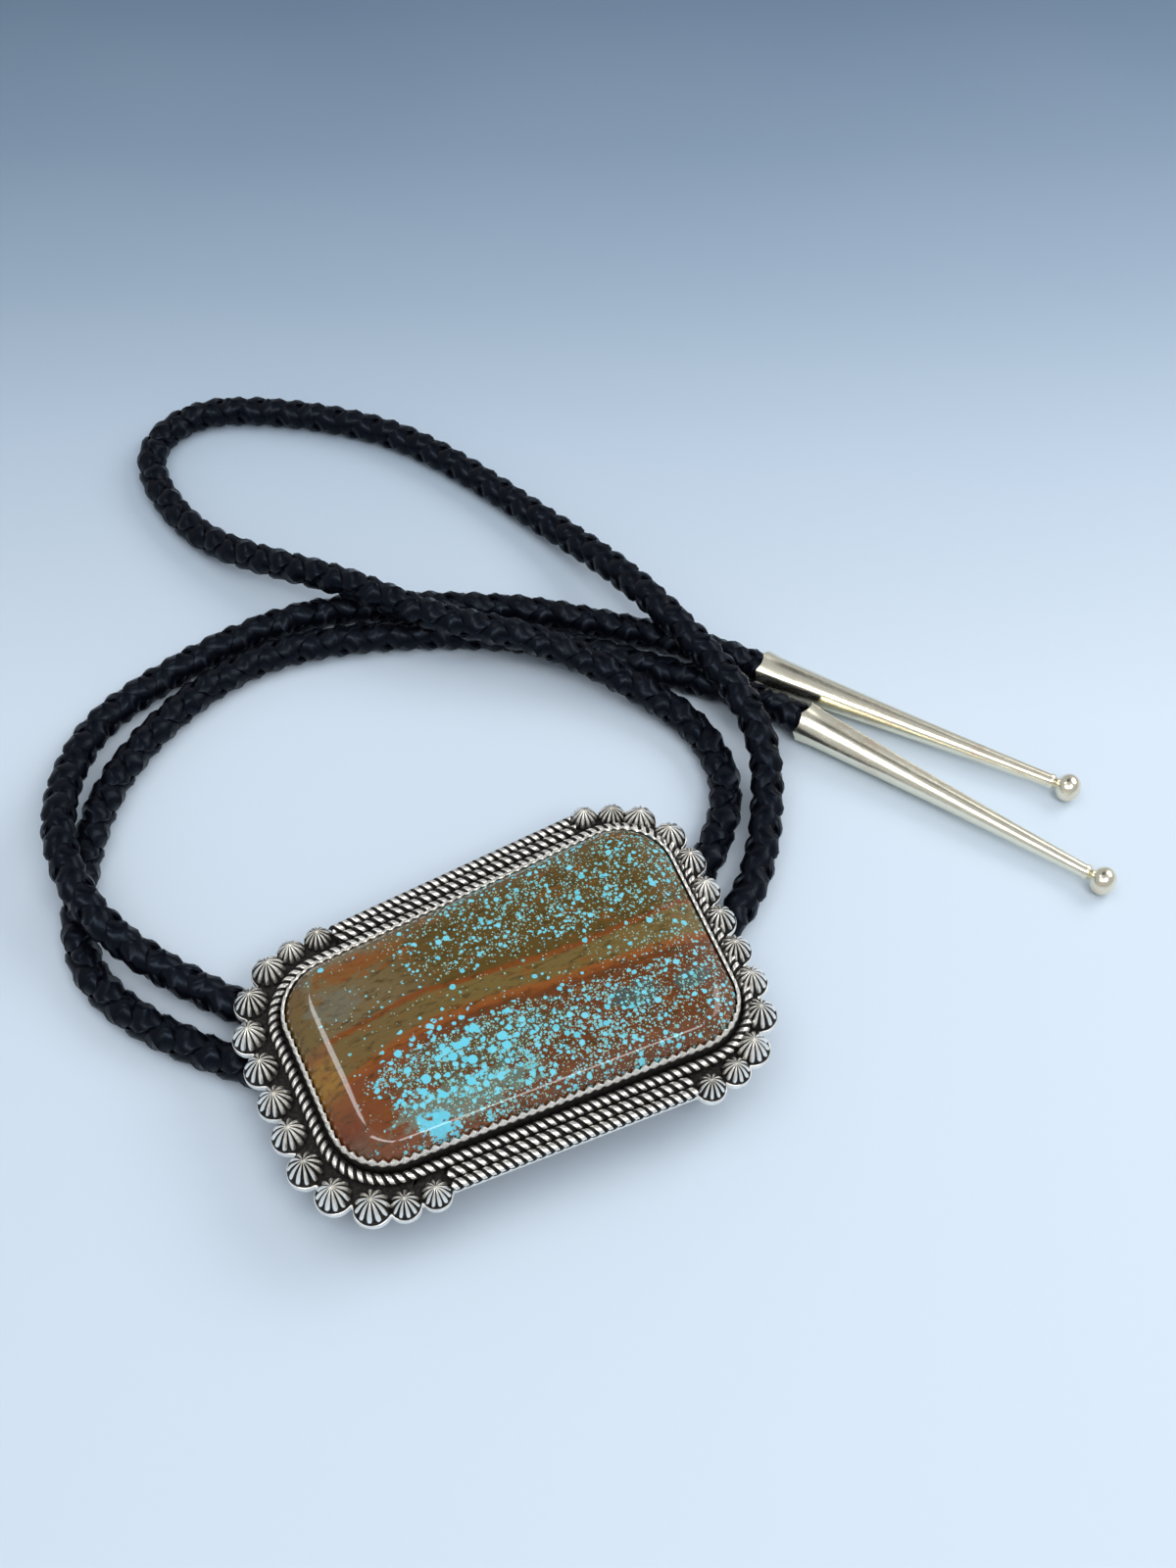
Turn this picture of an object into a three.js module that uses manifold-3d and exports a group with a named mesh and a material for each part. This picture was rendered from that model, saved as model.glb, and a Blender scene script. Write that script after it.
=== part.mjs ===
// Bolo tie: a silver slide with one large stone on a braided leather cord that ends in two cone tips.
// Units are millimetres and +Z is up. The origin is the middle of the slide's underside.
// The slide lies with its long axis along X, and the cord lies in a ring on its far side.
import * as THREE from 'three';
import * as BufferGeometryUtils from 'three/addons/utils/BufferGeometryUtils.js';
import Module from 'manifold-3d';

const wasm = await Module();
wasm.setup();

// Clearance between separate pieces
const pieceGap = 0.3;

// Cord
const cordDiameter = 6;
const cordSides = 10;
const cordSteps = 80;

// Clasp on the slide's back, with one channel for each pass of the cord
const claspLength = 24;
const channelClearance = 0.8;
const claspFloor = 0.8;
const claspRoof = 0.6;
const claspSideWall = 1.2;
const claspMiddleWall = 0.8;
const claspCornerRadius = 1.5;

// Slide: the rim line runs through the buttons and the outer rope wires
const rimLength = 79.4;
const rimWidth = 53.5;
const rimCornerRadius = 15;
const sideFlare = 0.06;
const endLean = 0.09;
const plateThickness = 1.3;
const plateMargin = 0.5;

// Stamped dome buttons in a row round each end
const endButtonDiameter = 5.8;
const sideButtonDiameter = 4.8;
const endButtonPitch = 6.4;
const sideButtonPitch = 5;
const endButtonsEachWay = 4;
const buttonsEachWay = 6;
const buttonHeightRatio = 0.6;
const buttonSquareness = 1.6;
const buttonFlange = 0.1;
const buttonSides = 12;
const buttonRings = 5;

// Rope wires along the sides, and one rope round the bezel
const ropeDiameter = 2;
const ropeSpacing = 2;
const ropeSink = 0.25;
const ropeEndGap = 0.2;
const ropeSides = 8;
const innerRopeOffset = 2.2;

// Bezel
const bezelWall = 0.6;
const bezelHeight = 3.4;

// Stone
const stoneLength = 69.4;
const stoneWidth = 41;
const stoneShift = 1.3;
const stoneCornerRadius = 9;
const stoneLean = 0.09;
const stoneSideHeight = 2.4;
const stoneShoulderHeight = 2.2;
const stoneShoulderInset = 4.6;
const stoneShoulderTurn = THREE.MathUtils.degToRad(66);
const stoneCrownHeight = 1.36;
const shoulderSteps = 5;
const crownSteps = 3;

// Cone tips
const tipLength = 62.5;
const tipMouthDiameter = 7.6;
const tipEndDiameter = 2.6;
const tipNeckDiameter = 2.2;
const tipCollarDiameter = 2.9;
const tipBallDiameter = 5.2;
const tipBallLength = 4.6;
const tipSocketDepth = 4;
const tipSides = 16;

// Where the tips lie: the middle of each mouth, and the heading of the cone
const tipAMouth = { x: 77, y: 50 };
const tipAHeading = THREE.MathUtils.degToRad(-53.2);
const tipBMouth = { x: 77.7, y: 34.9 };
const tipBHeading = THREE.MathUtils.degToRad(-61.3);

// Points that the middle of the cord passes, from tip A to tip B. It runs under the slide on both passes.
const cordRoute = [
  [54.7, 74.6, 3.2],
  [37.6, 87.9, 3.1],
  [0.3, 103.2, 3.1],
  [-38.9, 95.7, 3.4],
  [-50.4, 84.5, 5.3],
  [-57.0, 65.7, 9.6],
  [-56.3, 49.6, 9.0],
  [-49.2, 36.3, 5.0],
  [-27.0, 10.6, 3.5],
  [-13.0, 4.3, 4.2],
  [0.0, 4.2, 4.3],
  [13.0, 4.1, 4.2],
  [33.0, 6.8, 3.5],
  [55.6, 25.2, 3.2],
  [58.8, 41.3, 3.4],
  [50.3, 59.2, 5.7],
  [38.6, 72.2, 9.0],
  [24.1, 85.3, 9.7],
  [11.8, 101.2, 9.7],
  [-9.0, 133.2, 3.7],
  [-12.6, 155.5, 3.1],
  [-9.4, 164.6, 3.1],
  [-1.2, 169.6, 3.1],
  [9.0, 168.6, 3.1],
  [37.5, 146.4, 3.3],
  [57.1, 103.8, 4.1],
  [64.3, 68.8, 9.8],
  [67.5, 37.1, 8.4],
  [62.6, 22.2, 4.4],
  [45.3, 2.8, 3.2],
  [13.0, -4.1, 4.2],
  [0.0, -4.2, 4.3],
  [-13.0, -4.2, 4.2],
  [-29.0, 1.0, 3.6],
  [-56.2, 30.4, 3.1],
  [-60.0, 47.5, 3.1],
  [-43.6, 80.1, 3.1],
  [-10.4, 95.8, 3.1],
  [33.2, 82.0, 3.1],
  [63.4, 54.6, 3.2],
];

// Sizes that follow from the ones above
const channelSize = cordDiameter + 2 * channelClearance;
const channelOffset = (claspMiddleWall + channelSize) / 2;
const claspWidth = claspMiddleWall + 2 * channelSize + 2 * claspSideWall;
const claspHeight = claspFloor + channelSize + claspRoof;
const plateBottom = claspHeight + pieceGap;
const plateTop = plateBottom + plateThickness;
const stoneBottom = plateTop + pieceGap;
const bezelInnerOffset = pieceGap;
const bezelOuterOffset = pieceGap + bezelWall;
const ropeMiddleHeight = plateTop + ropeDiameter / 2 - ropeSink;

// Solids and meshes

function toSolid(geometry) {
  const bare = geometry.clone();
  bare.deleteAttribute('normal');
  bare.deleteAttribute('uv');
  const merged = BufferGeometryUtils.mergeVertices(bare, 1e-4);
  return new wasm.Manifold(new wasm.Mesh({
    numProp: 3,
    vertProperties: new Float32Array(merged.attributes.position.array),
    triVerts: new Uint32Array(merged.index.array),
  }));
}

function toGeometry(solid) {
  const mesh = solid.getMesh();
  const geometry = new THREE.BufferGeometry();
  geometry.setAttribute('position', new THREE.BufferAttribute(mesh.vertProperties, 3));
  geometry.setIndex(new THREE.BufferAttribute(mesh.triVerts, 1));
  geometry.computeVertexNormals();
  return geometry;
}

function namedMesh(name, geometry, material) {
  const mesh = new THREE.Mesh(geometry, material);
  mesh.name = name;
  return mesh;
}

// A four-sided outline with round corners. The long sides open towards the right end, and the right end
// leans. The offset moves the whole outline outwards, with the corners kept round.
function slideOutline({ length, width, radius, lean, shift = 0 }, offset = 0) {
  const left = -length / 2 + radius;
  const right = length / 2 - radius * Math.hypot(1, lean);
  const middle = width / 2 - radius * Math.hypot(1, sideFlare);
  const farRight = (right + lean * middle) / (1 - lean * sideFlare);
  const nearRight = (right - lean * middle) / (1 + lean * sideFlare);
  const sideAngle = Math.atan(sideFlare);
  const endAngle = Math.atan(lean);
  const turn = Math.PI / 2;
  const nearSide = 3 * turn - sideAngle;
  const r = radius + offset;
  const shape = new THREE.Shape();
  shape.absarc(shift + farRight, middle + sideFlare * farRight, r, -endAngle, turn + sideAngle);
  shape.absarc(shift + left, middle + sideFlare * left, r, turn + sideAngle, 2 * turn);
  shape.absarc(shift + left, -middle - sideFlare * left, r, 2 * turn, nearSide);
  shape.absarc(shift + nearRight, -middle - sideFlare * nearRight, r, nearSide, 4 * turn - endAngle);
  shape.closePath();
  return shape;
}

const rim = { length: rimLength, width: rimWidth, radius: rimCornerRadius, lean: endLean };
const stone = {
  length: stoneLength,
  width: stoneWidth,
  radius: stoneCornerRadius,
  lean: stoneLean,
  shift: stoneShift,
};

// A flat band between two offsets of one outline
function bandGeometry(outline, innerOffset, outerOffset, height, bevel = 0) {
  const shape = slideOutline(outline, outerOffset - bevel);
  shape.holes.push(new THREE.Path(slideOutline(outline, innerOffset + bevel).getPoints(6)));
  return new THREE.ExtrudeGeometry(shape, {
    depth: height - 2 * bevel,
    curveSegments: 6,
    bevelEnabled: bevel > 0,
    bevelThickness: bevel,
    bevelSize: bevel,
    bevelSegments: 2,
  }).translate(0, 0, bevel);
}

// Places of the buttons and the ends of the rope wires, measured along the rim line

const rimLine = slideOutline(rim);
const rimRuns = rimLine.getCurveLengths();
const rimTotal = rimRuns[rimRuns.length - 1];
const leftEndMiddle = (rimRuns[2] + rimRuns[3]) / 2;
const rightEndMiddle = (rimRuns[6] + rimRuns[7]) / 2;

function pointOnRim(distance) {
  return rimLine.getPoint(THREE.MathUtils.euclideanModulo(distance, rimTotal) / rimTotal);
}

function buttonDistance(step) {
  const endSteps = Math.min(Math.abs(step), endButtonsEachWay);
  const sideSteps = Math.abs(step) - endSteps;
  return Math.sign(step) * (endSteps * endButtonPitch + sideSteps * sideButtonPitch);
}

function buttonPlaces() {
  const places = [];
  for (const middle of [leftEndMiddle, rightEndMiddle]) {
    for (let step = -buttonsEachWay; step <= buttonsEachWay; step += 1) {
      const point = pointOnRim(middle + buttonDistance(step));
      const diameter = Math.abs(step) <= endButtonsEachWay ? endButtonDiameter : sideButtonDiameter;
      places.push({ x: point.x, y: point.y, diameter });
    }
  }
  return places;
}

// A tall round dome, a little pointed: its outline is a curve between a cone and a half circle
function buttonGeometry(diameter) {
  const radius = diameter / 2;
  const height = diameter * buttonHeightRatio;
  const root = -plateThickness / 2;
  const profile = [new THREE.Vector2(0, root), new THREE.Vector2(radius, root)];
  for (let ring = 0; ring <= buttonRings; ring += 1) {
    const angle = (ring / buttonRings) * (Math.PI / 2);
    const across = Math.cos(angle) ** (2 / buttonSquareness);
    const up = Math.sin(angle) ** (2 / buttonSquareness);
    profile.push(new THREE.Vector2(ring === buttonRings ? 0 : radius * across, height * up));
  }
  return new THREE.LatheGeometry(profile, buttonSides).rotateX(Math.PI / 2);
}

function plateSolid(places) {
  const sheet = new THREE.ExtrudeGeometry(slideOutline(rim, plateMargin), {
    depth: plateThickness,
    curveSegments: 10,
    bevelEnabled: false,
  }).translate(0, 0, plateBottom);
  let plate = toSolid(sheet);
  for (const { x, y, diameter } of places) {
    const lobeRadius = diameter / 2 + buttonFlange;
    const lobe = new THREE.CylinderGeometry(lobeRadius, lobeRadius, plateThickness, 2 * buttonSides)
      .rotateX(Math.PI / 2)
      .translate(x, y, plateBottom + plateThickness / 2);
    plate = plate.add(toSolid(lobe));
  }
  return plate;
}

// One straight rope wire that lies on the plate between two points of the rim
function ropeWire(from, to, inset) {
  const start = new THREE.Vector3(from.x, from.y, 0);
  const end = new THREE.Vector3(to.x, to.y, 0);
  const along = end.clone().sub(start);
  const inward = new THREE.Vector3(-along.y, along.x, 0).normalize().multiplyScalar(inset);
  const wire = new THREE.CylinderGeometry(ropeDiameter / 2, ropeDiameter / 2, along.length(), ropeSides);
  wire.rotateY(Math.PI / ropeSides);
  wire.applyQuaternion(new THREE.Quaternion().setFromUnitVectors(
    new THREE.Vector3(0, 1, 0),
    along.clone().normalize(),
  ));
  const middle = start.add(end).multiplyScalar(0.5).add(inward);
  return wire.translate(middle.x, middle.y, ropeMiddleHeight);
}

// The long sides carry two rope wires each, between the last buttons of the two ends
function sideRopes() {
  const reach = buttonDistance(buttonsEachWay) + sideButtonDiameter / 2 + ropeEndGap;
  const far = [pointOnRim(rightEndMiddle + reach), pointOnRim(leftEndMiddle - reach)];
  const near = [pointOnRim(leftEndMiddle + reach), pointOnRim(rightEndMiddle - reach)];
  const wires = [];
  for (const [from, to] of [far, near]) {
    for (const row of [0, 1]) {
      wires.push(ropeWire(from, to, row * ropeSpacing));
    }
  }
  return wires;
}

function settingSolid() {
  const places = buttonPlaces();
  let metal = plateSolid(places);
  const bezel = bandGeometry(stone, bezelInnerOffset, bezelOuterOffset, bezelHeight + plateThickness / 2);
  metal = metal.add(toSolid(bezel.translate(0, 0, plateTop - plateThickness / 2)));
  const ropeInner = innerRopeOffset - ropeDiameter / 2;
  const ropeOuter = innerRopeOffset + ropeDiameter / 2;
  const rope = bandGeometry(stone, ropeInner, ropeOuter, ropeDiameter, ropeDiameter / 4);
  metal = metal.add(toSolid(rope.translate(0, 0, plateTop - ropeSink)));
  for (const wire of sideRopes()) {
    metal = metal.add(toSolid(wire));
  }
  for (const { x, y, diameter } of places) {
    metal = metal.add(toSolid(buttonGeometry(diameter).translate(x, y, plateTop)));
  }
  return metal;
}

// The stone: upright sides in the bezel, a round shoulder that stops short of level, and a low crown.
// Each ring of points is an outline, and neighbouring rings are joined by triangles.
function stoneGeometry() {
  const rings = [];
  const addRing = (inset, scale, height) => {
    const points = slideOutline(stone, -inset).getPoints(8).slice(0, -1);
    rings.push(points.map(({ x, y }) => new THREE.Vector3(
      stoneShift + (x - stoneShift) * scale,
      y * scale,
      height,
    )));
  };
  addRing(0, 1, stoneBottom);
  for (let step = 0; step <= shoulderSteps; step += 1) {
    const angle = (step / shoulderSteps) * stoneShoulderTurn;
    const inset = stoneShoulderInset * (1 - Math.cos(angle));
    addRing(inset, 1, stoneBottom + stoneSideHeight + stoneShoulderHeight * Math.sin(angle));
  }
  const crownInset = stoneShoulderInset * (1 - Math.cos(stoneShoulderTurn));
  const shoulderTop = stoneBottom + stoneSideHeight + stoneShoulderHeight * Math.sin(stoneShoulderTurn);
  for (let step = 1; step < crownSteps; step += 1) {
    const scale = 1 - step / crownSteps;
    addRing(crownInset, scale, shoulderTop + stoneCrownHeight * (1 - scale ** 4));
  }
  const count = rings[0].length;
  const positions = rings.flat().flatMap((point) => [point.x, point.y, point.z]);
  positions.push(stoneShift, 0, stoneBottom);
  positions.push(stoneShift, 0, shoulderTop + stoneCrownHeight);
  const bottomCentre = rings.length * count;
  const topCentre = bottomCentre + 1;
  const lastRing = (rings.length - 1) * count;
  const faces = [];
  for (let side = 0; side < count; side += 1) {
    const next = (side + 1) % count;
    for (let ring = 0; ring + 1 < rings.length; ring += 1) {
      const lower = ring * count;
      const upper = lower + count;
      faces.push(lower + side, lower + next, upper + next);
      faces.push(lower + side, upper + next, upper + side);
    }
    faces.push(bottomCentre, next, side);
    faces.push(topCentre, lastRing + side, lastRing + next);
  }
  const geometry = new THREE.BufferGeometry();
  geometry.setAttribute('position', new THREE.Float32BufferAttribute(positions, 3));
  geometry.setIndex(faces);
  geometry.computeVertexNormals();
  return geometry;
}

// The clasp: a block with a flat underside, and two channels along X
function claspGeometry() {
  const halfWidth = claspWidth / 2;
  const r = claspCornerRadius;
  const section = new THREE.Shape();
  section.moveTo(-halfWidth + r, 0);
  section.lineTo(halfWidth - r, 0);
  section.absarc(halfWidth - r, r, r, -Math.PI / 2, 0);
  section.lineTo(halfWidth, claspHeight);
  section.lineTo(-halfWidth, claspHeight);
  section.lineTo(-halfWidth, r);
  section.absarc(-halfWidth + r, r, r, Math.PI, 1.5 * Math.PI);
  for (const side of [-1, 1]) {
    const channel = new THREE.Path();
    const channelRadius = channelSize / 2;
    channel.absarc(side * channelOffset, claspFloor + channelRadius, channelRadius, 0, 2 * Math.PI, true);
    section.holes.push(channel);
  }
  const block = new THREE.ExtrudeGeometry(section, {
    depth: claspLength,
    curveSegments: 8,
    bevelEnabled: false,
  });
  return block.translate(0, 0, -claspLength / 2).rotateX(Math.PI / 2).rotateZ(Math.PI / 2);
}

// A cone tip turned about its own axis, with a socket for the cord in its mouth. The cone narrows to a
// collar and a neck, and ends in a ball.
function tipGeometry() {
  const socketRadius = cordDiameter / 2 + pieceGap;
  const collarWidth = 0.9;
  const neckLength = 1.4;
  const ballMiddle = tipLength;
  const ballStart = ballMiddle - tipBallLength / 2;
  const neckStart = ballStart - neckLength;
  const coneEnd = neckStart - collarWidth;
  const neckRadius = tipNeckDiameter / 2;
  const profile = [
    [0, tipSocketDepth],
    [socketRadius, tipSocketDepth],
    [socketRadius, 0],
    [tipMouthDiameter / 2, 0],
  ];
  const coneSteps = 5;
  for (let step = 1; step <= coneSteps; step += 1) {
    const share = step / coneSteps;
    const straight = THREE.MathUtils.lerp(tipMouthDiameter, tipEndDiameter, share) / 2;
    const hollow = 0.25 * Math.sin(Math.PI * share);
    profile.push([straight - hollow, coneEnd * share]);
  }
  profile.push([tipCollarDiameter / 2, coneEnd + 0.1]);
  profile.push([tipCollarDiameter / 2, neckStart]);
  profile.push([neckRadius, neckStart + 0.2]);
  const ballRings = 7;
  for (let ring = 1; ring <= ballRings; ring += 1) {
    const angle = (ring / ballRings) * Math.PI;
    const radius = Math.max(Math.sin(angle) * tipBallDiameter / 2, ring < ballRings ? neckRadius : 0);
    profile.push([ring === ballRings ? 0 : radius, ballMiddle - Math.cos(angle) * tipBallLength / 2]);
  }
  const points = profile.map(([radius, along]) => new THREE.Vector2(radius, along));
  return new THREE.LatheGeometry(points, tipSides);
}

// A tip lies on its mouth's rim and on its ball
function tipPose(mouth, heading) {
  const mouthHeight = tipMouthDiameter / 2;
  const drop = mouthHeight - tipBallDiameter / 2;
  const flat = Math.sqrt(tipLength ** 2 - drop ** 2);
  const axis = new THREE.Vector3(Math.cos(heading) * flat, Math.sin(heading) * flat, -drop).normalize();
  return { mouth: new THREE.Vector3(mouth.x, mouth.y, mouthHeight), axis };
}

// The cord: a round tube on one smooth curve, whose ends sit straight in the tips' sockets
function cordGeometry(tipA, tipB) {
  const reach = tipSocketDepth - pieceGap;
  const straight = 1.3 * cordDiameter;
  const alongTip = (tip, distance) => tip.mouth.clone().addScaledVector(tip.axis, distance);
  const curve = new THREE.CatmullRomCurve3([
    alongTip(tipA, reach),
    alongTip(tipA, -straight),
    ...cordRoute.map(([x, y, z]) => new THREE.Vector3(x, y, z)),
    alongTip(tipB, -straight),
    alongTip(tipB, reach),
  ]);
  const section = new THREE.Shape();
  section.absarc(0, 0, cordDiameter / 2, 0, 2 * Math.PI);
  return new THREE.ExtrudeGeometry(section, {
    steps: cordSteps,
    curveSegments: cordSides / 2,
    extrudePath: curve,
  });
}

// Finishes
const silver = new THREE.MeshStandardMaterial({ color: 0xcfc9bf, roughness: 0.25, metalness: 1 });
const clipSilver = new THREE.MeshStandardMaterial({ color: 0xb9b7b2, roughness: 0.4, metalness: 1 });
const stoneFinish = new THREE.MeshStandardMaterial({ color: 0x7a6a3c, roughness: 0.12, metalness: 0 });
const leather = new THREE.MeshStandardMaterial({ color: 0x14161c, roughness: 0.5, metalness: 0 });

// The slide's box is centred on the origin, whatever the lean of its end
const slide = new THREE.Group();
slide.add(namedMesh('setting', toGeometry(settingSolid()), silver));
slide.add(namedMesh('cabochon', stoneGeometry(), stoneFinish));
const slideBox = new THREE.Box3().setFromObject(slide, true);
const slideMiddle = slideBox.getCenter(new THREE.Vector3());
slide.position.set(-slideMiddle.x, -slideMiddle.y, 0);

const tipA = tipPose(tipAMouth, tipAHeading);
const tipB = tipPose(tipBMouth, tipBHeading);

function placedTip(name, tip) {
  const mesh = namedMesh(name, tipGeometry(), silver);
  mesh.position.copy(tip.mouth);
  mesh.quaternion.setFromUnitVectors(new THREE.Vector3(0, 1, 0), tip.axis);
  return mesh;
}

const boloTie = new THREE.Group();
boloTie.add(slide);
boloTie.add(namedMesh('cord_clasp', claspGeometry(), clipSilver));
boloTie.add(namedMesh('cord', cordGeometry(tipA, tipB), leather));
boloTie.add(placedTip('tip_a', tipA));
boloTie.add(placedTip('tip_b', tipB));

export default boloTie;
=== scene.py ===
"""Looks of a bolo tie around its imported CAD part: a silver slide with one large stone, and a braided
leather cord that ends in two cone tips.

Lengths are in metres and +Z is up. The slide lies on its clasp with its long axis along X, and the cord
lies in a ring on its far side.
"""

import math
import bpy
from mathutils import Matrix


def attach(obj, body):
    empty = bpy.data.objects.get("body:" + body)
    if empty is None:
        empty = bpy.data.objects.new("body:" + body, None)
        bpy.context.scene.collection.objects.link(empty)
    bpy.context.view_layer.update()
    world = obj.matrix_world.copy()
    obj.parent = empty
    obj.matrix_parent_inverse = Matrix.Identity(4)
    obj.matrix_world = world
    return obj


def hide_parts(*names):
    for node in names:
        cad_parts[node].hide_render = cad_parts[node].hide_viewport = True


bl_info = {
    "name": "Bolo tie",
    "version": (1, 0, 0),
    "blender": (4, 5, 0),
    "location": "3D View > Sidebar > Bolo tie",
    "description": "Builds a silver slide with a large stone on a braided leather cord",
    "category": "Add Mesh",
}

from functools import partial, reduce

import bpy
import numpy as np
from bpy.props import FloatProperty, FloatVectorProperty, IntProperty, PointerProperty
from mathutils import Vector

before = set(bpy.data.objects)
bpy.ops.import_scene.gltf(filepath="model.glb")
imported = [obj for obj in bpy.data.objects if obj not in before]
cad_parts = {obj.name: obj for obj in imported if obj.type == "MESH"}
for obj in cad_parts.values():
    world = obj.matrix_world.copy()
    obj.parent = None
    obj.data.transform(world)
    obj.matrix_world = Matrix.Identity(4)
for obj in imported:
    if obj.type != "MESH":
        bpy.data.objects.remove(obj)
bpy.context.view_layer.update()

TURN = 2 * math.pi
MM = 0.001
UP = np.array([0.0, 0.0, 1.0])

# The viewer's place, what the view is aimed at, its turn from +Y towards +X, and the lens as the sensor's
# width in millimetres and the focal length and the frame's long side in pixels
VIEWER = np.array([-0.04962, -0.13069, 0.25557])
AIM = Vector((0.03555, 0.04203, 0.0))
HEADING = math.radians(26.25)
SENSOR, FOCAL_PIXELS, FRAME_PIXELS = 36.0, 1733, 1600

# Steps from the middle of an end to its last button an end pitch apart, and to its last button of all
END_STEPS, ALL_STEPS = 4, 6
BUTTON_FLANGE = 0.1 * MM
ROPE_GAP = 0.2 * MM

# The middle of each tip's mouth, and the way the tip points
TIP_PLACES = {
    "tip_a": ((0.0770, 0.0500), math.radians(-53.2)),
    "tip_b": ((0.0777, 0.0349), math.radians(-61.3)),
}

# Points that the middle of the cord passes, from tip A to tip B, given along the cord's real route
CORD_ROUTE = [
    (0.0547, 0.0746, 0.0032), (0.0376, 0.0879, 0.0031), (0.0003, 0.1032, 0.0031),
    (-0.0389, 0.0957, 0.0034), (-0.0504, 0.0845, 0.0053), (-0.0570, 0.0657, 0.0096),
    (-0.0563, 0.0496, 0.0090), (-0.0492, 0.0363, 0.0050), (-0.0270, 0.0106, 0.0035),
    (-0.0130, 0.0043, 0.0042), (0.0000, 0.0042, 0.0043), (0.0130, 0.0041, 0.0042),
    (0.0330, 0.0068, 0.0035), (0.0556, 0.0252, 0.0032), (0.0588, 0.0413, 0.0034),
    (0.0503, 0.0592, 0.0057), (0.0386, 0.0722, 0.0090), (0.0241, 0.0853, 0.0097),
    (0.0118, 0.1012, 0.0097), (-0.0090, 0.1332, 0.0037), (-0.0126, 0.1555, 0.0031),
    (-0.0094, 0.1646, 0.0031), (-0.0012, 0.1696, 0.0031), (0.0090, 0.1686, 0.0031),
    (0.0375, 0.1464, 0.0033), (0.0571, 0.1038, 0.0041), (0.0643, 0.0688, 0.0098),
    (0.0675, 0.0371, 0.0084), (0.0626, 0.0222, 0.0044), (0.0453, 0.0028, 0.0032),
    (0.0130, -0.0041, 0.0042), (0.0000, -0.0042, 0.0043), (-0.0130, -0.0042, 0.0042),
    (-0.0290, 0.0010, 0.0036), (-0.0562, 0.0304, 0.0031), (-0.0600, 0.0475, 0.0031),
    (-0.0436, 0.0801, 0.0031), (-0.0104, 0.0958, 0.0031), (0.0332, 0.0820, 0.0031),
    (0.0634, 0.0546, 0.0032),
]


def length_property(name, description, default):
    return FloatProperty(
        name=name, description=description, default=default, unit="LENGTH", subtype="DISTANCE", precision=5
    )


def slope_property(name, description, default):
    return FloatProperty(name=name, description=description, default=default)


def power_property(name, description, default):
    return FloatProperty(name=name, description=description, default=default, unit="POWER")


def colour_property(name, description, default):
    return FloatVectorProperty(
        name=name, description=description, default=default, size=3, min=0.0, max=1.0, subtype="COLOR"
    )


class BoloCordSettings(bpy.types.PropertyGroup):
    diameter: length_property("Diameter", "Width over the braid", 0.006)
    pitch: length_property("Braid pitch", "Length in which a lace goes once round the cord", 0.0178)
    lace_width: length_property("Lace width", "Width of each of the four laces", 0.0055)
    lace_thickness: length_property("Lace thickness", "Thickness in the middle of a lace", 0.0013)
    weave_depth: length_property("Weave depth", "How far a lace dips below the middle of the braid", 0.00085)
    leather: colour_property("Leather", "Colour of the leather", (0.0020, 0.0027, 0.0058))


class BoloSlideSettings(bpy.types.PropertyGroup):
    rim_length: length_property("Rim length", "Length of the line through the buttons", 0.0794)
    rim_width: length_property("Rim width", "Width of the line through the buttons", 0.0535)
    rim_corner: length_property("Rim corner", "Radius of the rim's corners", 0.015)
    side_flare: slope_property("Side flare", "How far the long sides open to the right", 0.06)
    end_lean: slope_property("End lean", "Lean of the right end", 0.09)
    plate_thickness: length_property("Plate thickness", "Thickness of the back plate", 0.0013)
    plate_bottom: length_property("Plate bottom", "Height of the back plate's underside", 0.0093)
    plate_margin: length_property("Plate margin", "How far the plate stands out from the rim line", 0.0005)
    end_button: length_property("End button", "Diameter of the buttons on the ends", 0.0058)
    side_button: length_property("Side button", "Diameter of the buttons on the long sides", 0.0048)
    end_pitch: length_property("End pitch", "Distance between the end buttons", 0.0064)
    side_pitch: length_property("Side pitch", "Distance between the side buttons", 0.005)
    rope: length_property("Rope diameter", "Diameter of the twisted wire", 0.002)
    rope_spacing: length_property("Rope spacing", "Distance between the rope rows", 0.002)
    rope_height: length_property("Rope height", "Height of the middle of the ropes", 0.01135)
    inner_rope: length_property("Inner rope", "Distance of the inner rope from the stone's edge", 0.0022)
    bezel_wall: length_property("Bezel wall", "Thickness of the bezel", 0.0006)
    bezel_height: length_property("Bezel height", "Height of the bezel above the plate", 0.0034)
    tooth_pitch: length_property("Tooth pitch", "Distance between the bezel's teeth", 0.0016)
    silver: colour_property("Silver", "Colour of the polished silver", (0.97, 0.95, 0.90))
    oxide: colour_property("Oxide", "Colour of the blackened hollows", (0.012, 0.011, 0.010))


class BoloStoneSettings(bpy.types.PropertyGroup):
    length: length_property("Length", "Length of the stone", 0.0694)
    width: length_property("Width", "Width of the stone", 0.041)
    corner: length_property("Corner", "Radius of the corners", 0.009)
    shift: length_property("Shift", "How far the stone sits to the right", 0.0013)
    lean: slope_property("Lean", "Lean of the right end", 0.09)
    bottom: length_property("Bottom", "Height of the stone's underside", 0.0109)
    side_height: length_property("Side height", "Height of the upright side", 0.0024)
    shoulder_height: length_property("Shoulder height", "Height of the sloping shoulder", 0.0027)
    end_inset: length_property("End inset", "Width of the shoulder at the two ends", 0.0054)
    side_inset: length_property("Side inset", "Width of the shoulder along the long sides", 0.0026)
    crown_height: length_property("Crown height", "Rise of the top", 0.00067)
    speck: colour_property("Speck", "Colour of the blue specks", (0.21, 0.67, 0.80))


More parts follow.
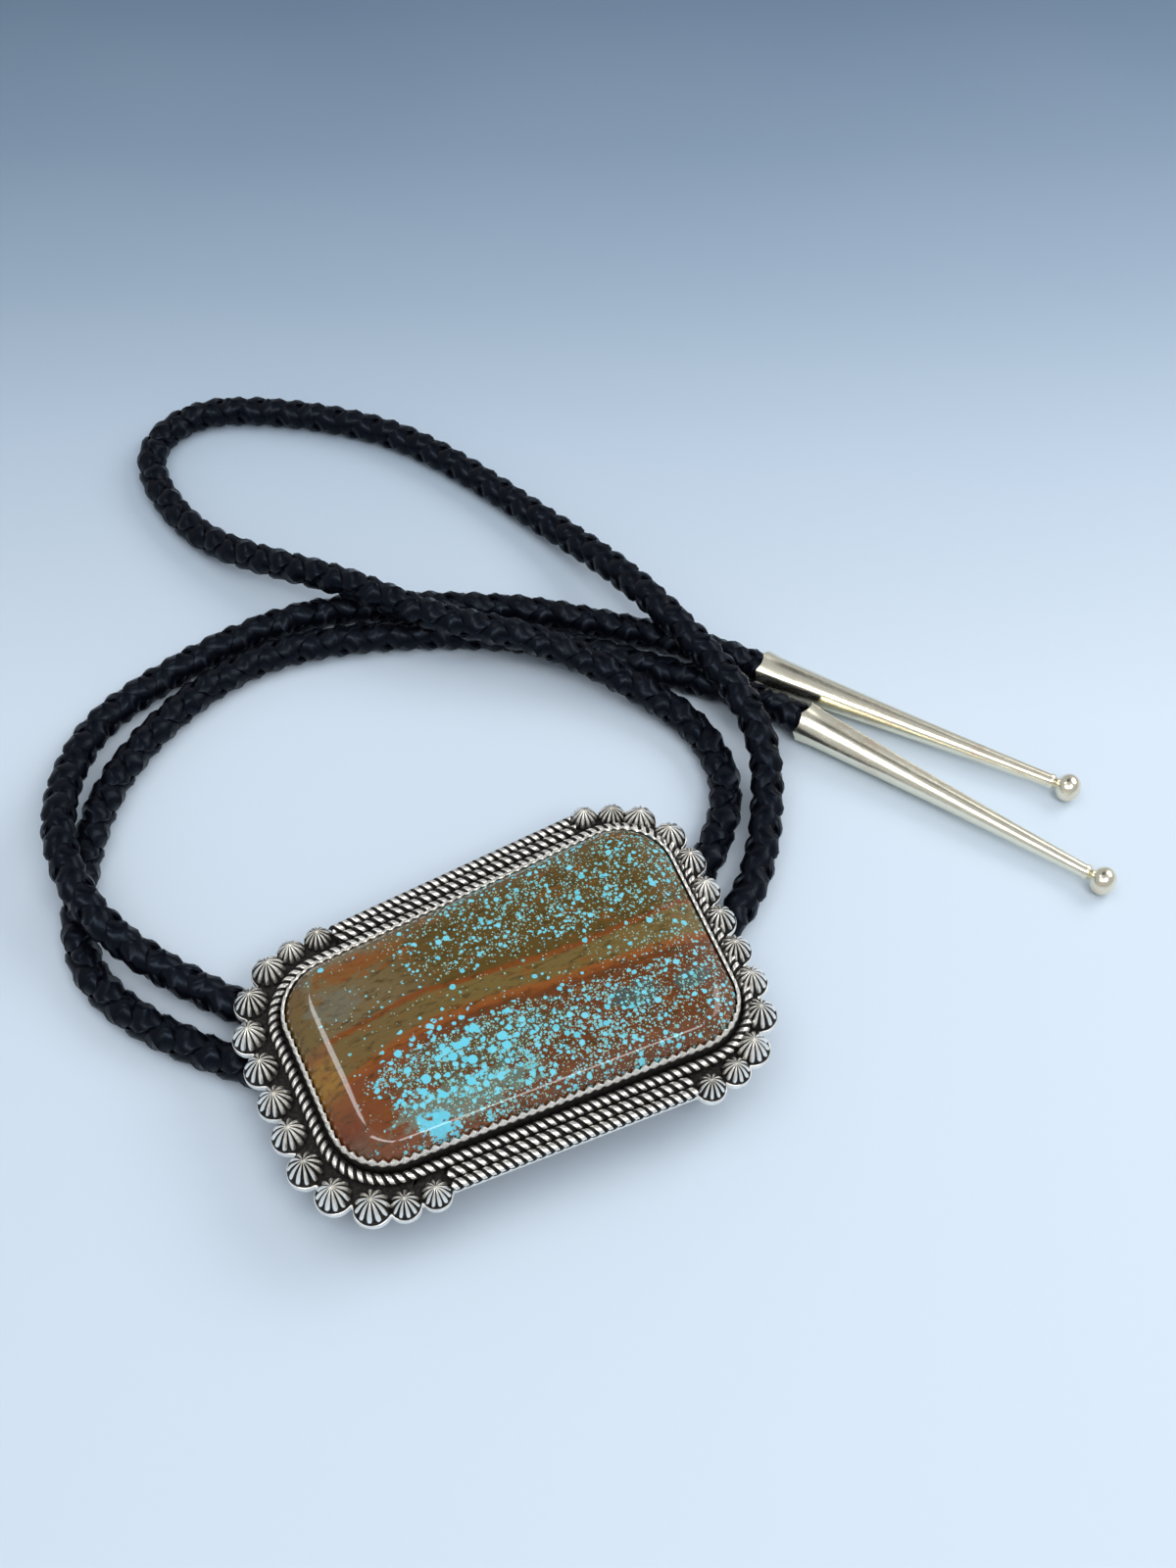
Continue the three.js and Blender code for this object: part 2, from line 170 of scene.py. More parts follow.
class BoloTipSettings(bpy.types.PropertyGroup):
    length: length_property("Length", "From the mouth to the middle of the ball", 0.0625)
    mouth: length_property("Mouth", "Diameter at the mouth", 0.0076)
    end: length_property("End", "Diameter at the small end of the cone", 0.0026)
    neck: length_property("Neck", "Diameter of the neck", 0.0022)
    collar: length_property("Collar", "Diameter of the collar", 0.0029)
    ball: length_property("Ball", "Diameter of the ball", 0.0053)
    ball_length: length_property("Ball length", "Length of the ball along the tip", 0.0046)
    socket: length_property("Socket depth", "How deep the cord goes in", 0.004)
    facets: IntProperty(name="Facets", description="Soft facets round the mouth", default=6, min=3, max=12)
    silver: colour_property("Silver", "Colour of the hand-polished silver", (0.88, 0.83, 0.67))


class BoloStageSettings(bpy.types.PropertyGroup):
    # The near and far floor colours are the two ends of a painted light falloff; the far one is painted
    # shade where the light fades behind the object
    near_floor_painted_light: colour_property("Near floor", "Colour of the floor near the object", (0.615, 0.715, 0.825))
    far_floor_painted_shade: colour_property("Far floor", "Colour of the floor far behind", (0.18, 0.265, 0.375))
    right_power: power_property("Right power", "Power of the right softbox", 1.55)
    left_power: power_property("Left power", "Power of the left softbox", 0.24)
    front_power: power_property("Front power", "Power of the front softbox", 1.5)
    corner_power: power_property("Corner power", "Power of the near left softbox", 1.5)
    overhead_power: power_property("Overhead power", "Power of the softbox above", 1.6)


# Shapes


def smooth_step(value, low, high):
    """Rises from 0 at low to 1 at high along 3t^2 - 2t^3, flat at both ends."""
    share = np.clip((value - low) / (high - low), 0.0, 1.0)
    return share * share * (3.0 - 2.0 * share)


def unit(vectors):
    """Each vector divided by its own length."""
    return vectors / np.linalg.norm(vectors, axis=-1, keepdims=True)


class Skin:
    """The closed surfaces that make up one piece. Each is a grid of points: rings along one way, points
    round the other."""

    def __init__(self):
        self.points, self.wear = [], []
        self.faces, self.uvs = [], []
        self.count = 0

    def add(self, rings, wear=None, wrap=False, along=None):
        """Joins neighbouring rings by quads. The last ring joins the first where wrap is true, and
        otherwise each end closes in a fan round its middle. Faces turn outwards by the sign of the volume
        that they enclose, which is a sixth of the sum of each triangle's triple product."""
        ring_count, round_count = rings.shape[:2]
        points = rings.reshape(-1, 3)
        worn = np.ones(len(points)) if wear is None else np.broadcast_to(wear, rings.shape[:2]).reshape(-1)
        if along is None:
            along = np.arange(ring_count + 1) * 1.0
        row = np.arange(ring_count if wrap else ring_count - 1)[:, None]
        column = np.arange(round_count)[None, :]
        next_row, next_column = (row + 1) % ring_count, (column + 1) % round_count
        quads = np.stack(
            np.broadcast_arrays(
                row * round_count + column,
                row * round_count + next_column,
                next_row * round_count + next_column,
                next_row * round_count + column,
            ),
            -1,
        ).reshape(-1, 4)
        low, high = along[row] + 0.0 * column, along[row + 1] + 0.0 * column
        left, right = column / round_count + 0.0 * row, (column + 1) / round_count + 0.0 * row
        quad_uvs = np.stack([low, left, low, right, high, right, high, left], -1).reshape(-1, 4, 2)
        corners = [(quads, quad_uvs)]
        if not wrap:
            around = np.arange(round_count)
            beside = (around + 1) % round_count
            for ring, turn_back in ((0, True), (ring_count - 1, False)):
                middle = np.full(round_count, len(points))
                points = np.concatenate([points, rings[ring].mean(0)[None]])
                worn = np.concatenate([worn, worn[ring * round_count :][:1]])
                first, second = (beside, around) if turn_back else (around, beside)
                fan = np.stack([middle, ring * round_count + first, ring * round_count + second], -1)
                share = np.stack([around + 0.5, first, second], -1) / round_count
                corners.append((fan, np.stack([np.full(share.shape, along[ring]), share], -1)))
        volume = 0.0
        for faces, _ in corners:
            for side in range(1, faces.shape[1] - 1):
                a, b, c = points[faces[:, 0]], points[faces[:, side]], points[faces[:, side + 1]]
                volume += np.einsum("ij,ij->", a, np.cross(b, c))
        for faces, uvs in corners:
            self.faces.append((faces if volume > 0 else faces[:, ::-1]) + self.count)
            self.uvs.append(uvs if volume > 0 else uvs[:, ::-1])
        self.points.append(points)
        self.wear.append(worn)
        self.count += len(points)

    def mesh(self, name, sharp=None):
        """Puts the points, faces, UV map and wear into a new mesh, with smooth faces and edges sharp past
        an angle."""
        mesh = bpy.data.meshes.new(name)
        faces = [face for block in self.faces for face in block.tolist()]
        mesh.from_pydata(np.concatenate(self.points).tolist(), [], faces)
        uv_map = mesh.uv_layers.new(name="UVMap")
        flat_uvs = np.concatenate([uvs.reshape(-1) for uvs in self.uvs])
        uv_map.data.foreach_set("uv", flat_uvs.astype(np.float32))
        worn = mesh.attributes.new("wear", "FLOAT", "POINT")
        worn.data.foreach_set("value", np.concatenate(self.wear).astype(np.float32))
        mesh.polygons.foreach_set("use_smooth", np.ones(len(mesh.polygons), dtype=bool))
        if sharp is not None:
            mesh.set_sharp_from_angle(angle=math.radians(sharp))
        mesh.update()
        return mesh


def make_piece(name, skin, node, material, sharp=None):
    """Makes the object of one piece, which rides on the body and stands for a CAD node."""
    piece = bpy.data.objects.new(name, skin.mesh(name, sharp))
    bpy.context.scene.collection.objects.link(piece)
    piece.data.materials.append(material)
    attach(piece, "root")
    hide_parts(node)
    return piece


class Outline:
    """A four-sided outline with round corners, whose long sides open to the right and whose right end
    leans. Each corner is an arc about its own centre, and straight runs join the arcs. Distances run along
    it, and an offset moves a point along its outward normal."""

    CORNER_STEPS = 33

    def __init__(self, length, width, radius, flare, lean, shift=0.0):
        left = -length / 2 + radius
        right = length / 2 - radius * math.hypot(1, lean)
        middle = width / 2 - radius * math.hypot(1, flare)
        far_right = (right + lean * middle) / (1 - lean * flare)
        near_right = (right - lean * middle) / (1 + lean * flare)
        side, end, quarter = math.atan(flare), math.atan(lean), TURN / 4
        corners = (
            (far_right, middle + flare * far_right, -end, quarter + side),
            (left, middle + flare * left, quarter + side, 2 * quarter),
            (left, -middle - flare * left, 2 * quarter, 3 * quarter - side),
            (near_right, -middle - flare * near_right, 3 * quarter - side, 4 * quarter - end),
        )
        points, normals = [], []
        for x, y, start, stop in corners:
            angles = np.linspace(start, stop, self.CORNER_STEPS)
            normal = np.stack([np.cos(angles), np.sin(angles)], 1)
            normals.append(normal)
            points.append(np.array([shift + x, y]) + radius * normal)
        self.points = np.concatenate(points + [points[0][:1]])
        self.normals = np.concatenate(normals + [normals[0][:1]])
        steps = np.linalg.norm(np.diff(self.points, axis=0), axis=1)
        self.runs = np.concatenate([[0.0], np.cumsum(steps)])
        self.total = self.runs[-1]
        n = self.CORNER_STEPS
        self.left_middle = (self.runs[2 * n - 1] + self.runs[2 * n]) / 2
        self.right_middle = (self.runs[4 * n - 1] + self.runs[4 * n]) / 2

    def at(self, distances, offset=0.0):
        """Points and outward normals at distances along the outline, by straight interpolation between its
        own."""
        along = np.mod(distances, self.total)
        x, y, nx, ny = (
            np.interp(along, self.runs, column)
            for column in (self.points[:, 0], self.points[:, 1], self.normals[:, 0], self.normals[:, 1])
        )
        normal = unit(np.stack([nx, ny], -1))
        shift = np.broadcast_to(offset, along.shape)[..., None]
        return np.stack([x, y], -1) + shift * normal, normal


def stone_outline(stone, slide):
    return Outline(stone.length, stone.width, stone.corner, slide.side_flare, stone.lean, stone.shift)


def rim_outline(slide):
    return Outline(slide.rim_length, slide.rim_width, slide.rim_corner, slide.side_flare, slide.end_lean)


def button_reach(slide, step):
    """Distance of a button from the middle of its end: the end pitch up to the fourth, then the side
    pitch."""
    end_steps = np.minimum(np.abs(step), END_STEPS)
    return np.sign(step) * (end_steps * slide.end_pitch + (np.abs(step) - end_steps) * slide.side_pitch)


def button_rows(slide, rim):
    """Distances along the rim line and diameters of all the buttons, the left end's first."""
    steps = np.arange(-ALL_STEPS, ALL_STEPS + 1)
    reach = button_reach(slide, steps)
    sizes = np.where(np.abs(steps) <= END_STEPS, slide.end_button, slide.side_button)
    return np.concatenate([rim.left_middle + reach, rim.right_middle + reach]), np.tile(sizes, 2)


def plate_offsets(slide, rim, distances):
    """How far the plate's edge stands out from the rim line: the plain margin, or a round lobe about a
    button where that is more. A lobe's height is the square root of its radius squared less the distance
    along squared."""
    places, sizes = button_rows(slide, rim)
    apart = np.mod(distances[:, None] - places[None, :] + rim.total / 2, rim.total) - rim.total / 2
    reach = np.maximum((sizes / 2 + BUTTON_FLANGE) ** 2 - apart**2, 0.0)
    return np.maximum(slide.plate_margin, np.sqrt(reach).max(1))


def slide_middle(slide):
    """Middle of the box round the plate's edge, which the CAD part puts on the origin."""
    rim = rim_outline(slide)
    distances = np.arange(0, rim.total, 0.1 * MM)
    edge, _ = rim.at(distances, plate_offsets(slide, rim, distances))
    return (edge.min(0) + edge.max(0)) / 2


def raised(flat, height):
    """Flat points with a height, which may differ from point to point."""
    return np.concatenate([flat, np.broadcast_to(height, flat.shape[:-1])[..., None]], -1)


def plate_rings(slide):
    """The back plate: the scalloped edge carried up the plate's thickness with its rims rounded over a
    little, then drawn in towards the middle."""
    rim = rim_outline(slide)
    distances = np.linspace(0, rim.total, 960, endpoint=False)
    offsets = plate_offsets(slide, rim, distances)
    bottom, top = slide.plate_bottom, slide.plate_bottom + slide.plate_thickness
    middle = slide_middle(slide)
    round_over, ledge = 0.22 * MM, 4.0 * MM
    rings, worn = [], []
    # Share of the way out from the middle, inset from the edge, height and wear of each ring
    for share, inset, height, wear in (
        (0.5, 0.0, bottom, 0.25),
        (1.0, ledge, bottom, 0.25),
        (1.0, round_over, bottom, 0.6),
        (1.0, round_over * 0.3, bottom + round_over * 0.3, 0.9),
        (1.0, 0.0, bottom + round_over, 1.0),
        (1.0, 0.0, top - round_over, 1.0),
        (1.0, round_over * 0.3, top - round_over * 0.3, 0.95),
        (1.0, round_over, top, 0.55),
        (1.0, 2.5 * round_over, top, 0.04),
        (1.0, ledge, top, 0.0),
        (0.5, 0.0, top, 0.0),
    ):
        edge, _ = rim.at(distances, offsets - inset)
        rings.append(raised(edge * share - middle, height))
        worn.append(np.full(len(distances), wear))
    return np.stack(rings), np.stack(worn)


def button_rings(place, base, diameter, grooves, turn):
    """A stamped dome, 0.6 of its diameter high, whose foot sinks a little into the plate. Its side follows
    cos^1.25 outwards and sin^1.25 upwards, between a cone and a half ball, and V grooves run down it from
    near the apex. Their depth is a share of the radius times the power 1.2 of one less the ridge, and the
    height loses 0.45 of that share. The ridge is a raised cosine of the angle times the number of grooves,
    and the share wavers round the dome. The wear is high on the upper parts of the ridges and the apex."""
    radius, height = diameter / 2, 0.6 * diameter
    along = np.concatenate([[-0.12, -0.06], np.linspace(0, 0.985, 16)])[:, None]
    around = np.linspace(0, TURN, grooves * 6, endpoint=False)[None, :]
    angle = np.clip(along, 0, 1) * TURN / 4
    across, up = np.cos(angle) ** 1.25, np.sin(angle) ** 1.25
    ridge = 0.5 + 0.5 * np.cos(grooves * around + turn)
    fade = smooth_step(along, -0.02, 0.20) * (1 - smooth_step(along, 0.86, 1.0))
    depth = 0.19 + 0.05 * np.cos(2 * around + 3 * turn)
    dip = depth * (1 - ridge) ** 1.2 * fade
    reach = radius * across * (1 - dip)
    lift = height * up * (1 - 0.45 * dip) + np.minimum(along, 0) * 6 * MM
    worn = smooth_step(ridge, 0.18, 0.55) * smooth_step(along, 0.03, 0.30)
    worn = np.maximum(worn, smooth_step(along, 0.80, 0.95))
    x, y = place[0] + reach * np.cos(around), place[1] + reach * np.sin(around)
    return np.stack([x, y, base + lift + 0 * around], -1), worn


def rope_rings(centre, side, along, diameter, pitch, start_angle, sides=14):
    """One strand of a twisted pair. Its middle turns once in a pitch about the rope's line, like a
    right-hand screw that is 0.22 of the rope's diameter out, and a round section of radius 0.30 of that
    diameter stands square to it. What lies past four fifths of the rope's radius is pressed in, to two
    fifths of its reach, which leaves broad flat ovals, and all of it is then 1.06 times as large. The wear
    is high on the outermost of the top."""
    angle = TURN * along / pitch + start_angle
    radius = 0.22 * diameter
    outward = np.cos(angle)[:, None] * UP + np.sin(angle)[:, None] * side
    sideways = -np.sin(angle)[:, None] * UP + np.cos(angle)[:, None] * side
    forward = unit(np.cross(UP[None, :], side) + radius * TURN / pitch * sideways)
    across = np.cross(forward, outward)
    around = np.linspace(0, TURN, sides, endpoint=False)[None, :, None]
    section = 0.30 * diameter * (np.cos(around) * outward[:, None, :] + np.sin(around) * across[:, None, :])
    points = radius * outward[:, None, :] + section
    height, out = points @ UP, np.einsum("ijk,ik->ij", points, side)
    reach = np.hypot(height, out) / (diameter / 2)
    points = points * (np.where(reach > 0.8, 0.8 + 0.4 * (reach - 0.8), reach) / reach)[..., None] * 1.06
    worn = smooth_step(reach, 0.89, 0.97) * smooth_step(height / (diameter / 2), 0.0, 0.5)
    return centre[:, None, :] + points, worn


def make_rope(name, slide, centre, outward, along, pitch, wrap=False):
    """A rope of two strands, half a turn apart, along level points that have outward directions."""
    centre = raised(centre, slide.rope_height)
    side = np.broadcast_to(raised(outward, 0.0), centre.shape)
    skin = Skin()
    for start_angle in (0.0, TURN / 2):
        skin.add(*rope_rings(centre, side, along, slide.rope, pitch, start_angle), wrap=wrap)
    make_piece(name, skin, "setting", oxidised_silver(slide))


def catmull_rom(points, samples):
    """A smooth curve through points. Between two neighbours it is a cubic whose end slopes come from the
    points beside them, each span timed by the square root of its chord, and a mirrored point is added past
    each end."""
    points = np.asarray(points, dtype=float)
    padded = np.concatenate([[2 * points[0] - points[1]], points, [2 * points[-1] - points[-2]]])
    p0, p1, p2, p3 = padded[:-3], padded[1:-2], padded[2:-1], padded[3:]
    t0, t1, t2 = (np.sqrt(np.linalg.norm(b - a, axis=1))[:, None] for a, b in ((p0, p1), (p1, p2), (p2, p3)))
    start = ((p1 - p0) / t0 - (p2 - p0) / (t0 + t1) + (p2 - p1) / t1) * t1
    stop = ((p2 - p1) / t1 - (p3 - p1) / (t1 + t2) + (p3 - p2) / t2) * t1
    share = np.linspace(0, 1, samples, endpoint=False)[None, :, None]
    square, cube = (-3 * p1 + 3 * p2 - 2 * start - stop)[:, None], (2 * p1 - 2 * p2 + start + stop)[:, None]
    curve = p1[:, None] + start[:, None] * share + square * share**2 + cube * share**3
    return np.concatenate([curve.reshape(-1, 3), points[-1:]])


class CordLine:
    """The middle line of the cord, with a level side direction and an upward one at each of its evenly
    spaced points."""

    def __init__(self, points, step):
        fine = catmull_rom(points, 60)
        runs = np.concatenate([[0.0], np.cumsum(np.linalg.norm(np.diff(fine, axis=0), axis=1))])
        self.length = runs[-1]
        self.along = np.linspace(0, self.length, int(round(self.length / step)) + 1)
        self.middle = np.stack([np.interp(self.along, runs, fine[:, axis]) for axis in range(3)], 1)
        forward = unit(np.gradient(self.middle, axis=0))
        self.side = unit(np.cross(forward, UP))
        self.up = np.cross(self.side, forward)

    def facing(self, along):
        """Angle from the top of the cord to the side that faces the viewer."""
        to_viewer = VIEWER - self.middle
        across, above = (np.einsum("ij,ij->i", to_viewer, way) for way in (self.side, self.up))
        return np.interp(along, self.along, np.arctan2(above, across) - TURN / 4)

    def place(self, along, angle, radius):
        """Points at a distance along the line, turned by an angle from the side towards the top, at a
        radius."""
        along = np.clip(along, 0, self.length)
        middle, side, up = (
            np.stack([np.interp(along, self.along, line[:, axis]) for axis in range(3)], -1)
            for line in (self.middle, self.side, self.up)
        )
        turn = np.cos(angle)[..., None] * unit(side) + np.sin(angle)[..., None] * unit(up)
        return middle + radius[..., None] * turn


def lace_rings(line, cord, hand, start_angle, step=0.65 * MM, sides=12):
    """One flat lace of the round four-lace braid. Two laces turn one way and two the other. The lace's
    middle turns once in a pitch, and its radius swings by the weave depth twice in that length, so it goes
    over one lace and under the next. The whole braid is turned so that its plaits meet in the middle of the
    side that faces the viewer, and it wavers a little. A lace's section is a flattened block with round
    corners, the power 3.4 curve, laid on the cord's own round surface square to the lace, so a point to the
    side of its middle moves along the cord as well as round it. What would lie below the floor is pressed
    flat on it."""
    power, proud = 2 / 3.4, 0.28 * MM
    middle_radius = cord.diameter / 2 + proud - cord.weave_depth - cord.lace_thickness / 2
    along = np.linspace(0, line.length, int(round(line.length / step)) + 1)[:, None]
    around = np.linspace(0, TURN, sides, endpoint=False)[None, :]
    wide = np.sign(np.cos(around)) * np.abs(np.cos(around)) ** power * cord.lace_width / 2
    thick = np.sign(np.sin(around)) * np.abs(np.sin(around)) ** power * cord.lace_thickness / 2
    slope = math.atan(TURN * middle_radius / cord.pitch)
    waver = 0.10 * np.sin(along * 41.0) + 0.07 * np.sin(along * 97.0 + 1.3)
    turned = hand * TURN * along / cord.pitch + start_angle + waver + line.facing(along)
    swing = hand * cord.weave_depth * np.cos(2 * TURN * along / cord.pitch)
    spot = along - hand * wide * math.sin(slope)
    points = line.place(spot, turned + wide * math.cos(slope) / middle_radius, middle_radius + swing + thick)
    points[..., 2] = np.maximum(points[..., 2], 0.0)
    return points, along[:, 0]


def core_rings(line, radius, step=3 * MM, sides=10):
    """The dark core of the braid: a plain tube along the cord's middle."""
    along = np.linspace(0, line.length, int(line.length / step))[:, None]
    around = np.linspace(0, TURN, sides, endpoint=False)[None, :]
    along, around = np.broadcast_arrays(along, around)
    return line.place(along, around, np.full(along.shape, radius))


def tip_profile(tip):
    """Radius and distance from the mouth, from the socket's floor out over the mouth, down the hollow cone
    to its collar and neck, and round the ball, with the number of points that lie inside the mouth. The
    cone's side is straight less a quarter of a millimetre times the sine of the way along it."""
    socket, edge, bevel = 3.3 * MM, 0.08 * MM, 0.1 * MM
    ball_start = tip.length - tip.ball_length / 2
    neck_start = ball_start - 0.5 * MM
    cone_end = neck_start - 0.9 * MM
    share = np.linspace(0, 1, 40)
    cone = (tip.mouth + (tip.end - tip.mouth) * share) / 2 - 0.25 * MM * np.sin(math.pi * share)
    angle = np.linspace(0.30, math.pi - 0.05, 18)
    collar, collar_steps = tip.collar / 2, np.array([0.05, 0.15, -0.15, 0.0, 0.2]) * MM
    parts = [
        ([socket, socket, socket + edge, tip.mouth / 2 - bevel], [tip.socket, bevel, 0.0, 0.0]),
        (cone, edge + (cone_end - edge) * share),
        (
            [collar - bevel, collar, collar, collar - bevel, tip.neck / 2],
            np.array([cone_end, cone_end, neck_start, neck_start, neck_start]) + collar_steps,
        ),
        (np.sin(angle) * tip.ball / 2, tip.length - np.cos(angle) * tip.ball_length / 2),
    ]
    radius, along = (np.concatenate(column) for column in zip(*parts))
    return radius, along, len(parts[0][0])


def tip_start(tip, node):
    """The middle of a tip's mouth, and the way of a tip that lies on its mouth's rim and on its ball."""
    (x, y), heading = TIP_PLACES[node]
    drop = (tip.mouth - tip.ball) / 2
    flat = math.sqrt(tip.length**2 - drop**2)
    axis = np.array([math.cos(heading) * flat, math.sin(heading) * flat, -drop]) / tip.length
    return np.array([x, y, tip.mouth / 2]), axis


def tip_rings(tip, node, turn):
    """The tip's profile turned about its axis. Near the mouth the round section is drawn towards a soft
    polygon, whose flats lie at the cosine of half a side over the cosine of the angle from the flat's
    middle, and the mouth's edge is cut back in a shallow scallop on each flat."""
    radius, along, inner = tip_profile(tip)
    around = np.linspace(0, TURN, 96, endpoint=False)[None, :]
    sector = TURN / tip.facets
    from_flat = np.mod(around + turn, sector) - sector / 2
    polygon = math.cos(sector / 2) / np.cos(from_flat)
    share = along[:, None] / tip.length
    outside = (np.arange(len(along)) >= inner - 1)[:, None]
    by_mouth = 1 - smooth_step(share, 0.0, 0.05)
    pull = 0.30 * (1 - smooth_step(share, 0.0, 0.75)) * outside
    reach = radius[:, None] * (1 - pull + pull * polygon) + 0.22 * MM * by_mouth * outside
    scallop = 0.55 * MM * np.cos(from_flat / sector * math.pi) * by_mouth
    start, axis = tip_start(tip, node)
    side = unit(np.cross(axis, UP))
    up = np.cross(side, axis)
    distance = along[:, None] + scallop * (along[:, None] < tip.socket * 0.9)
    ring = reach[..., None] * (np.cos(around)[..., None] * side + np.sin(around)[..., None] * up)
    return start + distance[..., None] * axis + ring, along


# Materials


def add_node(tree, kind, inputs=None, **settings):
    """Adds a node with its settings. An input given as a socket is linked, and any other is its value."""
    node = tree.nodes.new(kind)
    for name, value in settings.items():
        setattr(node, name, value)
    for key, value in (inputs or {}).items():
        if isinstance(value, bpy.types.NodeSocket):
            tree.links.new(value, node.inputs[key])
        elif isinstance(value, (tuple, list)) and len(value) == 3 and node.inputs[key].type == "RGBA":
            node.inputs[key].default_value = (*value, 1.0)
        else:
            node.inputs[key].default_value = value
    return node


def mix(tree, share, first, second):
    return add_node(tree, "ShaderNodeMix", {0: share, 6: first, 7: second}, data_type="RGBA").outputs[2]


def maths(tree, operation, first, second=0.0, third=0.0):
    return add_node(tree, "ShaderNodeMath", {0: first, 1: second, 2: third}, operation=operation).outputs[0]


def chain(tree, operation, *values):
    """The values joined one after another by one maths operation."""
    return reduce(partial(maths, tree, operation), values)


def share_of(tree, value, low, high):
    """How far the value is on the way from low to high, held between 0 and 1."""
    inputs = {"Value": value, "From Min": low, "From Max": high}
    return add_node(tree, "ShaderNodeMapRange", inputs).outputs[0]


def rise(tree, value, low, high, start=0.0, stop=1.0):
    """A smooth rise from start to stop as the value goes from low to high."""
    inputs = {"Value": value, "From Min": low, "From Max": high, "To Min": start, "To Max": stop}
    return add_node(tree, "ShaderNodeMapRange", inputs, interpolation_type="SMOOTHSTEP").outputs[0]


def noise(tree, vector, scale, detail=2.0, roughness=0.5, output=0):
    inputs = {"Vector": vector, "Scale": scale, "Detail": detail, "Roughness": roughness}
    return add_node(tree, "ShaderNodeTexNoise", inputs).outputs[output]


def colour_ramp(tree, value, stops, curve="LINEAR"):
    """Colours or greys at places from 0 to 1. The first two stops are the two ends."""
    node = add_node(tree, "ShaderNodeValToRGB", {"Fac": value})
    elements = node.color_ramp.elements
    node.color_ramp.interpolation = curve
    for number, (place, colour) in enumerate(stops):
        element = elements[number] if number < 2 else elements.new(place)
        element.position = place
        element.color = (*colour, 1.0) if isinstance(colour, tuple) else (colour, colour, colour, 1.0)
    return node.outputs["Color"]


def scaled(tree, vector, scale, move=(0.0, 0.0, 0.0)):
    inputs = {"Vector": vector, "Scale": scale, "Location": move}
    return add_node(tree, "ShaderNodeMapping", inputs).outputs[0]


def vector_maths(tree, operation, first, second):
    return add_node(tree, "ShaderNodeVectorMath", {0: first, 1: second}, operation=operation).outputs[0]


def new_group(name, inputs, outputs):
    """A shader node group with named inputs and outputs. Returns it with its input and output nodes."""
    group = bpy.data.node_groups.new(name, "ShaderNodeTree")
    for title, kind, default in inputs:
        socket = group.interface.new_socket(name=title, in_out="INPUT", socket_type=kind)
        if default is not None:
            socket.default_value = default
    for title, kind in outputs:
        group.interface.new_socket(name=title, in_out="OUTPUT", socket_type=kind)
    return group, group.nodes.new("NodeGroupInput"), group.nodes.new("NodeGroupOutput")


def fine_grain_group():
    """Fine uneven marks at two sizes, for scratches on metal and the grain of leather. Puts out a height
    and a mask."""
    name = "Fine grain"
    if name in bpy.data.node_groups:
        return bpy.data.node_groups[name]
    number = "NodeSocketFloat"
    group, given, made = new_group(
        name,
        [("Vector", "NodeSocketVector", None), ("Scale", number, 1.0), ("Stretch", number, 1.0)],
        [("Height", number), ("Mask", number)],
    )
    factors = {0: given.outputs["Stretch"], 1: 1.0, 2: 1.0}
    squeezed = add_node(group, "ShaderNodeCombineXYZ", factors).outputs[0]
    vector = vector_maths(group, "MULTIPLY", given.outputs["Vector"], squeezed)
    coarse = noise(group, vector, given.outputs["Scale"], 4.0, 0.6)
    fine = noise(group, vector, maths(group, "MULTIPLY", given.outputs["Scale"], 4.0), 3.0, 0.6)
    height = maths(group, "MULTIPLY_ADD", fine, 0.35, maths(group, "MULTIPLY", coarse, 0.65))
    group.links.new(height, made.inputs["Height"])
    group.links.new(rise(group, coarse, 0.42, 0.66), made.inputs["Mask"])
    return group


def place_grain(tree, vector, scale, stretch):
    node = tree.nodes.new("ShaderNodeGroup")
    node.node_tree = fine_grain_group()
    tree.links.new(vector, node.inputs["Vector"])
    node.inputs["Scale"].default_value = scale
    node.inputs["Stretch"].default_value = stretch
    return node.outputs["Height"], node.outputs["Mask"]


def new_material(name, **values):
    """A material with one Principled shader, whose constant values are set on its own sockets."""
    material = bpy.data.materials.new(name)
    material.use_nodes = True
    tree = material.node_tree
    tree.nodes.clear()
    shader = tree.nodes.new("ShaderNodeBsdfPrincipled")
    output = tree.nodes.new("ShaderNodeOutputMaterial")
    tree.links.new(shader.outputs[0], output.inputs[0])
    for key, value in values.items():
        shader.inputs[key.replace("_", " ")].default_value = value
    return material, tree, shader


def bump(tree, shader, height, distance, strength=1.0):
    node = add_node(tree, "ShaderNodeBump", {"Strength": strength, "Distance": distance, "Height": height})
    tree.links.new(node.outputs[0], shader.inputs["Normal"])


def in_millimetres(tree):
    """Object coordinates in millimetres."""
    coordinates = tree.nodes.new("ShaderNodeTexCoord").outputs["Object"]
    return scaled(tree, coordinates, (1000.0, 1000.0, 1000.0))


